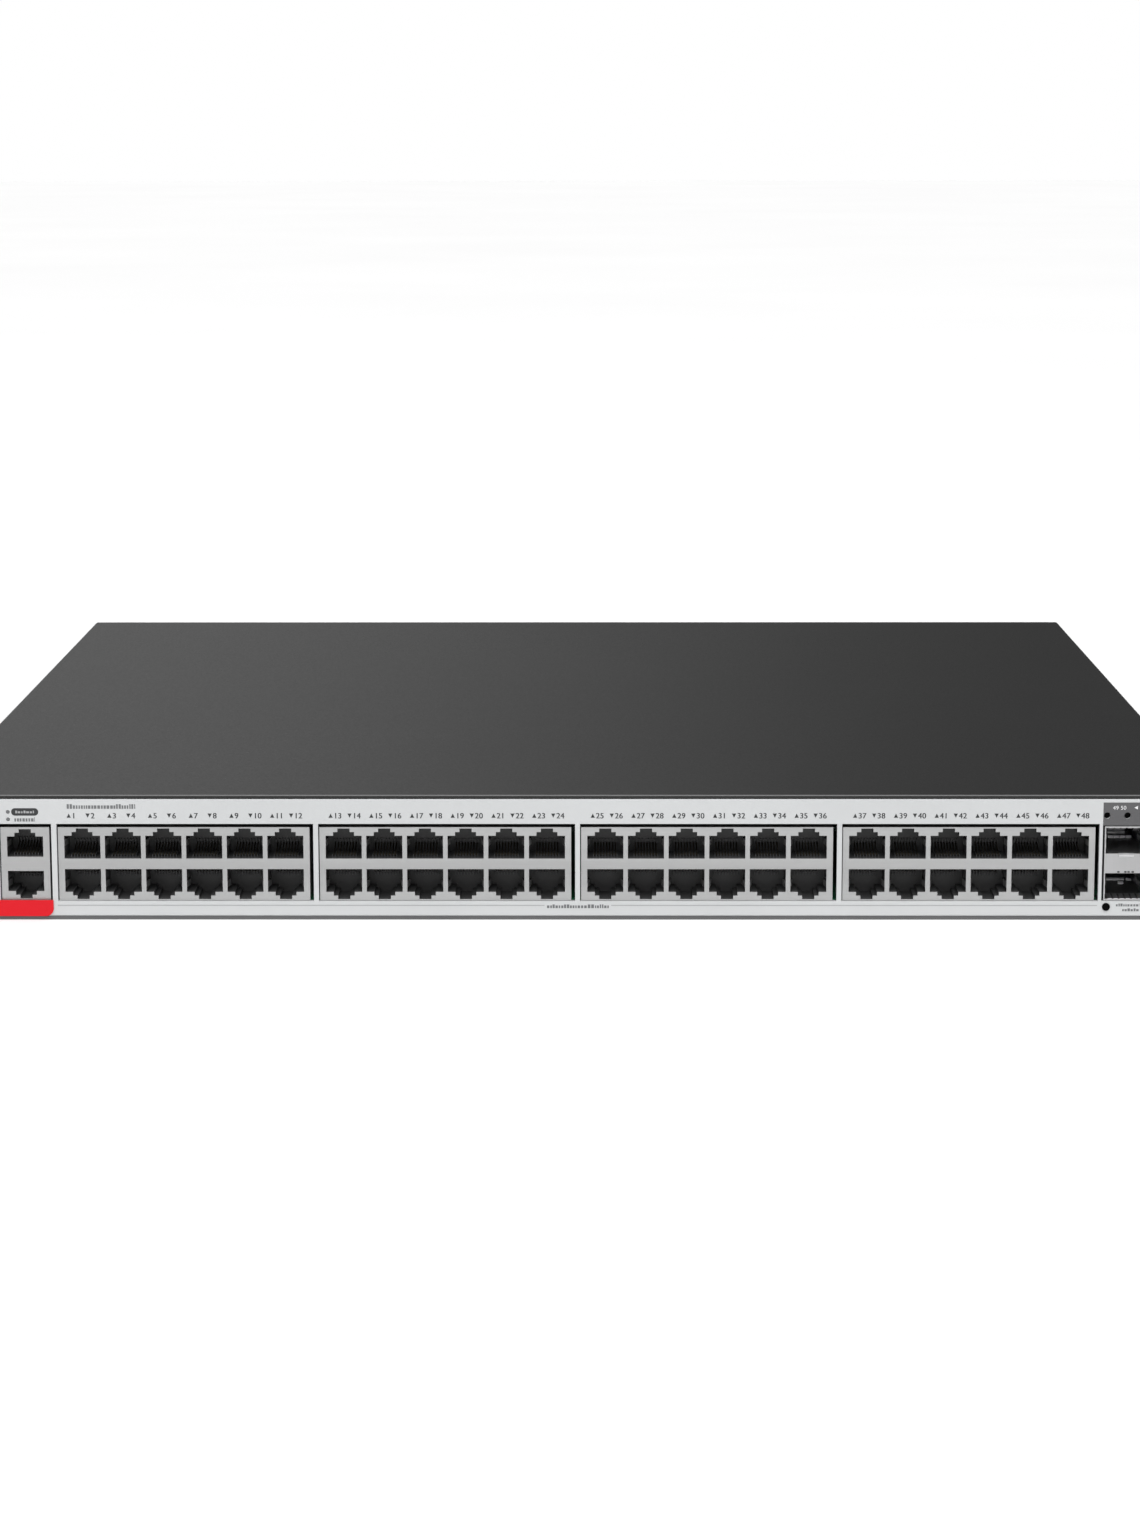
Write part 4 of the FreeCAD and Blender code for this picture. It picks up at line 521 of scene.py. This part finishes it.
def service_print(dark, grey, pale):
    """By the management lamps: a dark pill with a pale caption, a grey caption, and the lamps' grey ends."""
    low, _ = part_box("management_shield")
    x = low.x + 8.7 * MM
    upper, lower = LAMP_LINE + SERVICE_LAMP_RISE, LAMP_LINE - SERVICE_LAMP_RISE
    printed(dark, rounded(x, upper, 9.3 * MM, 2.6 * MM, 1.25 * MM))
    fine_print(pale, x - 3.2 * MM, x + 3.2 * MM, upper, 0.9 * MM, 3, FACE - INK)
    fine_print(grey, x - 3.6 * MM, x + 3.4 * MM, lower, 1.5 * MM, 4)
    width = SERVICE_LAMP_WIDTH
    for z in (lower, upper):
        printed(grey, rounded(low.x + SERVICE_LAMP, z, width, width, width / 2))


def lower_print(grey, pale):
    """Along the panel's lower edge: a broken rule, with a caption in its gap, and two lines by the button."""
    badge_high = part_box("model_badge")[1]
    gap_low, gap_high = RULE_BREAK
    for low, high in ((badge_high.x + 1.4 * MM, gap_low), (gap_high, cage_low.x - 2.2 * MM)):
        printed(pale, dash(low, high, *PANEL_RULE))
    fine_print(grey, gap_low + 0.8 * MM, gap_high - 0.8 * MM, 4.7 * MM, 1.3 * MM, 6)
    button_low, button_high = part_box("mode_button")
    button_x = (button_low.x + button_high.x) / 2
    for row in (0, 1):
        z = 5.2 * MM - row * 1.7 * MM
        fine_print(grey, button_x + (3.4 + 2.2 * row) * MM, button_x + 11.5 * MM, z, 1.0 * MM, 7 + row)


def label_print():
    """49 to 52 on the uplink label, two and two, each pair with a small mark that points to the left."""
    low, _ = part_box("uplink_label")
    numbers, marks = [], Parts()
    for column in (0, 1):
        x = low.x + 3.2 * MM + CAGE_PITCH * column
        text = f"{49 + 2 * column} {50 + 2 * column}"
        numbers.append(digits(text, x, 38.6 * MM, 1.35 * MM, low.y))
        tip, end = x + 7.3 * MM, x + 8.5 * MM
        mark = [(tip, LABEL_LINE), (end, LABEL_LINE + 0.6 * MM), (end, LABEL_LINE - 0.6 * MM)]
        printed(marks, mark, low.y)
    join_meshes(numbers, "uplink_numbers", "chassis", "print_white")
    marks.make("uplink_marks", "chassis", "print_white")


def panel_print():
    """The print on the panel, gathered by colour, and on the uplink label."""
    dark, grey, pale = Parts(), Parts(), Parts()
    service_print(dark, grey, pale)
    first_x = PORTS[0][0]
    fine_print(grey, first_x - 4.9 * MM, first_x + 18.6 * MM, 39.7 * MM, 1.6 * MM, 5)
    lower_print(grey, pale)
    dark.make("dark_print", "chassis", "print_dark")
    grey.make("grey_print", "chassis", "print_grey")
    label_print()
    pale.make("pale_print", "chassis", "print_pale")


# ---------------------------------------------------------------- inside the jacks


def jack_contacts(ports, name, node):
    """Eight gilt springs in each jack, which come round from the wall by the mouth and slope in."""
    low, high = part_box(node)
    mouth, depth = low.y, high.y - low.y
    bend = [(0.06, 0.3), (0.0, 0.62), (0.07, 1.0), (0.35, 1.7), (0.7, 2.75), (0.88, 3.2), (0.98, 3.1)]
    across = Vector((0.19 * MM, 0, 0))
    parts = Parts()
    for x, wall, side in ports:
        for contact in range(CONTACTS):
            x_at = x + (contact - (CONTACTS - 1) / 2) * CONTACT_PITCH
            path = [Vector((x_at, mouth + along * depth, wall + side * rise * MM)) for along, rise in bend]
            parts.ribbon(path, across, 0.26 * MM)
    # The darkened gold finish on these contacts is painted shade from inside the jacks.
    made = parts.make(name, "chassis", "contact_gold")
    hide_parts(node)


def jack_combs():
    """The moulded ribs that keep the contacts apart, along the contact wall and up the back of each jack."""
    low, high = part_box("port_contacts")
    wall_ribs = (low.y - 1.2 * MM, low.y + 5.4 * MM, 0.85 * MM)
    back_ribs = (high.y - 1.3 * MM, high.y, 4.6 * MM)
    half = 0.14 * MM
    parts = Parts()
    for x, wall, side in PORTS + SERVICE_PORTS:
        for rib in range(CONTACTS + 1):
            x_at = x + (rib - CONTACTS / 2) * CONTACT_PITCH
            for y_low, y_high, reach in (wall_ribs, back_ribs):
                z_low, z_high = sorted((wall, wall + side * reach))
                parts.prism(dash(x_at - half, x_at + half, z_low, z_high), y_low, y_high)
    parts.make("jack_combs", "chassis", "jack_black")


def jack_side_springs():
    """The shield's own leaf springs, which bow in from both sides of each jack to touch a plug."""
    shield_low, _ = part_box(STACKS[0])
    bow = [(0.2, -0.02), (1.2, 0.22), (3.0, 0.55), (4.6, 0.75), (5.8, 0.5), (6.6, 0.12)]
    across = Vector((0, 0, 1.1 * MM))
    parts = Parts()
    for ports, height in ((PORTS, PORT_HEIGHT), (SERVICE_PORTS, SERVICE_HEIGHT)):
        for x, wall, side in ports:
            z = wall + side * (height - 2.6 * MM)
            for edge in (-1, 1):
                inner = x + edge * PORT_WIDTH / 2
                parts.ribbon(level_bend(inner, shield_low.y, z, bow, edge), across, 0.14 * MM)
    parts.make("jack_side_springs", "chassis", "shield_nickel")


# ---------------------------------------------------------------- uplink cage

LEAF_SHEET = 0.15 * MM


def sill_finger(parts, x, sill):
    """The broad finger that curls over the sill of an upper mouth."""
    curl = [(1.4, 0.05), (0.2, 0.02), (-0.35, -0.35), (-0.4, -0.8), (0.05, -1.25)]
    parts.ribbon(upright_bend(x, cage_low.y, sill, curl), Vector((2.6 * MM, 0, 0)), 0.22 * MM)


def roof_leaves(parts, x, roof, side):
    """Six grounding leaves side by side, which bow in from the wall across from the sill."""
    bow = [(0.2, -0.06), (2.2, -0.35), (5.5, -0.8), (8.0, -0.25)]
    for step in range(6):
        x_at = x + (step - 2.5) * 2.1 * MM
        parts.ribbon(upright_bend(x_at, cage_low.y, roof, bow, side), Vector((0.75 * MM, 0, 0)), LEAF_SHEET)


def wall_leaves(parts, x, z):
    """Leaves that bow in from both side walls, in rows one behind another."""
    bow = [(0.4, 0.05), (3.0, 0.4), (6.0, 0.75), (9.0, 0.15)]
    places = ((-1.9, 0), (1.3, 0), (-1.9, 11), (1.3, 11), (-0.3, 22))
    for edge in (-1, 1):
        wall = x + edge * MOUTH_WIDTH / 2
        for up, deep in places:
            path = level_bend(wall, cage_low.y + deep * MM, z + up * MM, bow, edge)
            parts.ribbon(path, Vector((0, 0, 0.9 * MM)), LEAF_SHEET)


def cage_details():
    """The cage's bright fingers and leaves, and dark notches over its lower mouths, which are painted shade
    where holes would look dark.
    """
    fingers, dark = Parts(), Parts()
    for x, z, side in cage_mouths():
        sill, roof = z - side * MOUTH_HEIGHT / 2, z + side * MOUTH_HEIGHT / 2
        if side > 0:
            sill_finger(fingers, x, sill)
        roof_leaves(fingers, x, roof, side)
        wall_leaves(fingers, x, z)
        if side < 0:
            for offset in (-2.5, -0.1, 1.0, 2.4):
                notch = rounded(x + offset * MM, sill + 0.45 * MM, 0.9 * MM, 0.6 * MM, 0.25 * MM, 4)
                # Painted shade: dark ink where the holes over the lower mouths would look dark.
                printed(dark, notch, cage_low.y)
    fingers.make("cage_springs", "chassis", "finger_nickel")
    dark.make("cage_hole_shade", "chassis", "print_dark")


def cage_leaves_and_tabs():
    """Leaves at the top of the upper mouths, darkened with painted shade, and tabs that stand up from the
    floors of all four.
    """
    leaves, tabs = Parts(), Parts()
    hang = [(0.3, 0.05), (0.9, 0.75), (1.6, 1.35), (4.0, 0.9)]
    stand = [(0, 0), (0.1, 0.45), (0.3, 0.85)]
    # How deep each tab stands, and how far it is to the right of the mouth's middle, in millimetres.
    upper_tabs = ((35, -0.6), (35, 1.5), (35, 3.6), (27, -1.6), (27, 0.5), (27, 2.6), (27, 4.7))
    lower_tabs = ((30, -1.2), (30, 0.9), (30, 3.0), (30, 5.6), (24, 1.9))
    for x, z, side in cage_mouths():
        floor, top = z - MOUTH_HEIGHT / 2, z + MOUTH_HEIGHT / 2
        for deep, offset in upper_tabs if side > 0 else lower_tabs:
            path = upright_bend(x + offset * MM, cage_low.y + deep * MM, floor, stand)
            tabs.ribbon(path, Vector((0.95 * MM, 0, 0)), 0.2 * MM)
        if side > 0:
            for offset in (-5.6, -3.5, -1.6, 3.2, 5.4):
                path = upright_bend(x + offset * MM, cage_low.y, top, hang, -1)
                leaves.ribbon(path, Vector((0.92 * MM, 0, 0)), LEAF_SHEET)
    # The leaves' dark finish is painted shade from inside the mouths.
    leaves.make("cage_leaves", "chassis", "finger_painted_shade")
    tabs.make("cage_tabs", "chassis", "cage_nickel")


# ---------------------------------------------------------------- rear


def thumbscrew():
    """A knurled thumbscrew with a waisted head, hollow at its end, in place of the plain one."""
    low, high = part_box("tray_thumbscrew")
    middle = (low + high) / 2
    shank, waist, grip, knurl = 1.5, 3.3, 3.9, 0.1
    scale = (high.x - low.x) / 2 / (grip + knurl)
    head, end = high.y - 12 * MM, high.y
    count = 80
    # Each ring is a place along Y, a radius, and how far its points go in and out in turn.
    rings = [
        (low.y, 0.3, 0), (low.y, shank - 0.05, 0), (head + 1.0 * MM, shank, 0), (head, waist, 0),
        (head + 0.5 * MM, grip, knurl), (head + 7.0 * MM, grip, knurl), (head + 7.4 * MM, waist, 0),
        (head + 8.2 * MM, waist, 0), (head + 8.6 * MM, grip, knurl), (end - 0.5 * MM, grip, knurl),
        (end, 3.4, 0), (end, 1.7, 0), (end - 1.0 * MM, 1.6, 0), (end - 1.0 * MM, 0.1, 0),
    ]
    vertices, faces = [], []
    for y, radius, ridge in rings:
        for step in range(count):
            turn = 2 * math.pi * step / count
            reach = (radius + (ridge if step % 2 else -ridge)) * scale
            vertices.append((middle.x + reach * math.cos(turn), y, middle.z + reach * math.sin(turn)))
    last = len(vertices) - count
    for start in range(0, last, count):
        for step in range(count):
            a, b = start + step, start + (step + 1) % count
            faces.append([a, b, b + count, a + count])
    faces.append(list(range(count))[::-1])
    faces.append([last + step for step in range(count)])
    made = piece("knurled_thumbscrew", vertices, faces, "thumbscrew", "knob_steel")
    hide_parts("tray_thumbscrew")


def rear_print():
    """A 1 and a 2 on the supplies."""
    for number in (1, 2):
        _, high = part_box(f"supply_{number}_case")
        mesh = digits(str(number), high.x - 5.0 * MM, high.z - 5.4 * MM, 3.0 * MM, high.y, turned=True)
        join_meshes([mesh], f"supply_number_{number}", f"supply_{number}", "print_dark")


# ---------------------------------------------------------------- floor


def floor_white(colour, roughness):
    nodes, links, shader = new_material("floor_white")
    broad = noise(nodes, links, coordinates(nodes, links), 1.5)
    stops = [(0.3, shade(colour, 0.985)), (0.7, shade(colour, 1.01))]
    links.new(ramp(nodes, links, broad, stops), shader.inputs["Base Color"])
    shader.inputs["Roughness"].default_value = roughness


def make_floor():
    """A pale floor just under the chassis, wide enough to reach past every view's edges."""
    reach = 12.0
    floor_white((0.97, 0.97, 0.97), 0.9)
    mesh = bpy.data.meshes.new("floor")
    corners = [(-reach, -reach, 0), (reach, -reach, 0), (reach, reach, 0), (-reach, reach, 0)]
    mesh.from_pydata(corners, [], [[0, 1, 2, 3]])
    floor = bpy.data.objects.new("floor", mesh)
    floor.data.materials.append(FINISHES["floor_white"])
    floor.location.z = cad_bounds[0].z - 0.05 * MM
    bpy.context.scene.collection.objects.link(floor)


# ---------------------------------------------------------------- light and camera

FRONT_SKY = 0.5
REAR_LEFT = 0.39
REAR_RIGHT = 0.09


def softbox(name, place, target, width, height, watts):
    """A rectangular light that faces a target."""
    light = bpy.data.lights.new(name, "AREA")
    light.shape = "RECTANGLE"
    light.size = width
    light.size_y = height
    light.energy = watts
    made = bpy.data.objects.new(name, light)
    made.location = place
    made.rotation_mode = "QUATERNION"
    made.rotation_quaternion = (Vector(target) - Vector(place)).to_track_quat("-Z", "Y")
    bpy.context.scene.collection.objects.link(made)


def daylight(width, tilt, strength):
    """A broad, soft sun from above the front, so that the floor is as bright far away as near."""
    light = bpy.data.lights.new("sky", "SUN")
    light.energy = strength
    light.angle = math.radians(width)
    made = bpy.data.objects.new("sky", light)
    made.rotation_euler = (math.radians(tilt), 0, 0)
    bpy.context.scene.collection.objects.link(made)


def studio_world():
    """White to look at. As light it is even in front, and behind it falls off from left to right."""
    world = bpy.data.worlds.new("studio")
    world.use_nodes = True
    nodes, links = world.node_tree.nodes, world.node_tree.links
    direction = nodes.new("ShaderNodeSeparateXYZ")
    links.new(nodes.new("ShaderNodeTexCoord").outputs["Generated"], direction.inputs["Vector"])
    side = ranged(nodes, links, direction.outputs["X"], -0.16, 0.14, REAR_LEFT, REAR_RIGHT)
    behind = ranged(nodes, links, direction.outputs["Y"], 0.25, 0.7, 0.0, 1.0)
    strength = nodes.new("ShaderNodeMix")
    links.new(behind, strength.inputs["Factor"])
    strength.inputs["A"].default_value = FRONT_SKY
    links.new(side, strength.inputs["B"])
    seen = nodes.new("ShaderNodeLightPath")
    shown = nodes.new("ShaderNodeMix")
    links.new(seen.outputs["Is Camera Ray"], shown.inputs["Factor"])
    links.new(strength.outputs["Result"], shown.inputs["A"])
    shown.inputs["B"].default_value = 1.0
    links.new(shown.outputs["Result"], nodes["Background"].inputs["Strength"])
    nodes["Background"].inputs["Color"].default_value = (1, 1, 1, 1)
    bpy.context.scene.world = world


def light_scene():
    daylight(width=50, tilt=32, strength=2.3)
    softbox("front_key", (-0.3, -2.4, 1.5), (0, -0.1, 0), 2.2, 1.2, watts=8)
    softbox("left_rear", (-2.2, 1.3, 0.9), (0, 0.1, 0.04), 1.6, 1.2, watts=6)
    studio_world()


def make_camera():
    """A long lens in front of the ports and a little above them, which looks down at them."""
    distance, rise, aside = 1.214, 0.2327, 0.0077
    down, roll, turn = 10.29, 0.068, 0.361
    camera = bpy.data.cameras.new("camera")
    camera.lens = 85.5
    camera.sensor_width = 36.0
    camera.clip_start = 0.05
    camera.clip_end = 60.0
    made = bpy.data.objects.new("camera", camera)
    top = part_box("top_cover")[1].z
    made.location = (aside, FACE - distance, top + rise)
    made.rotation_euler = (math.radians(90 - down), math.radians(roll), math.radians(turn))
    bpy.context.scene.collection.objects.link(made)
    bpy.context.scene.camera = made


build_finishes()
finish_nodes()
port_numbers()
panel_print()
jack_contacts(PORTS, "jack_contacts", "port_contacts")
jack_contacts(SERVICE_PORTS, "service_contacts", "management_contacts")
jack_combs()
jack_side_springs()
cage_details()
cage_leaves_and_tabs()
thumbscrew()
rear_print()
make_floor()
light_scene()
make_camera()
bpy.context.scene.view_settings.view_transform = "Standard"
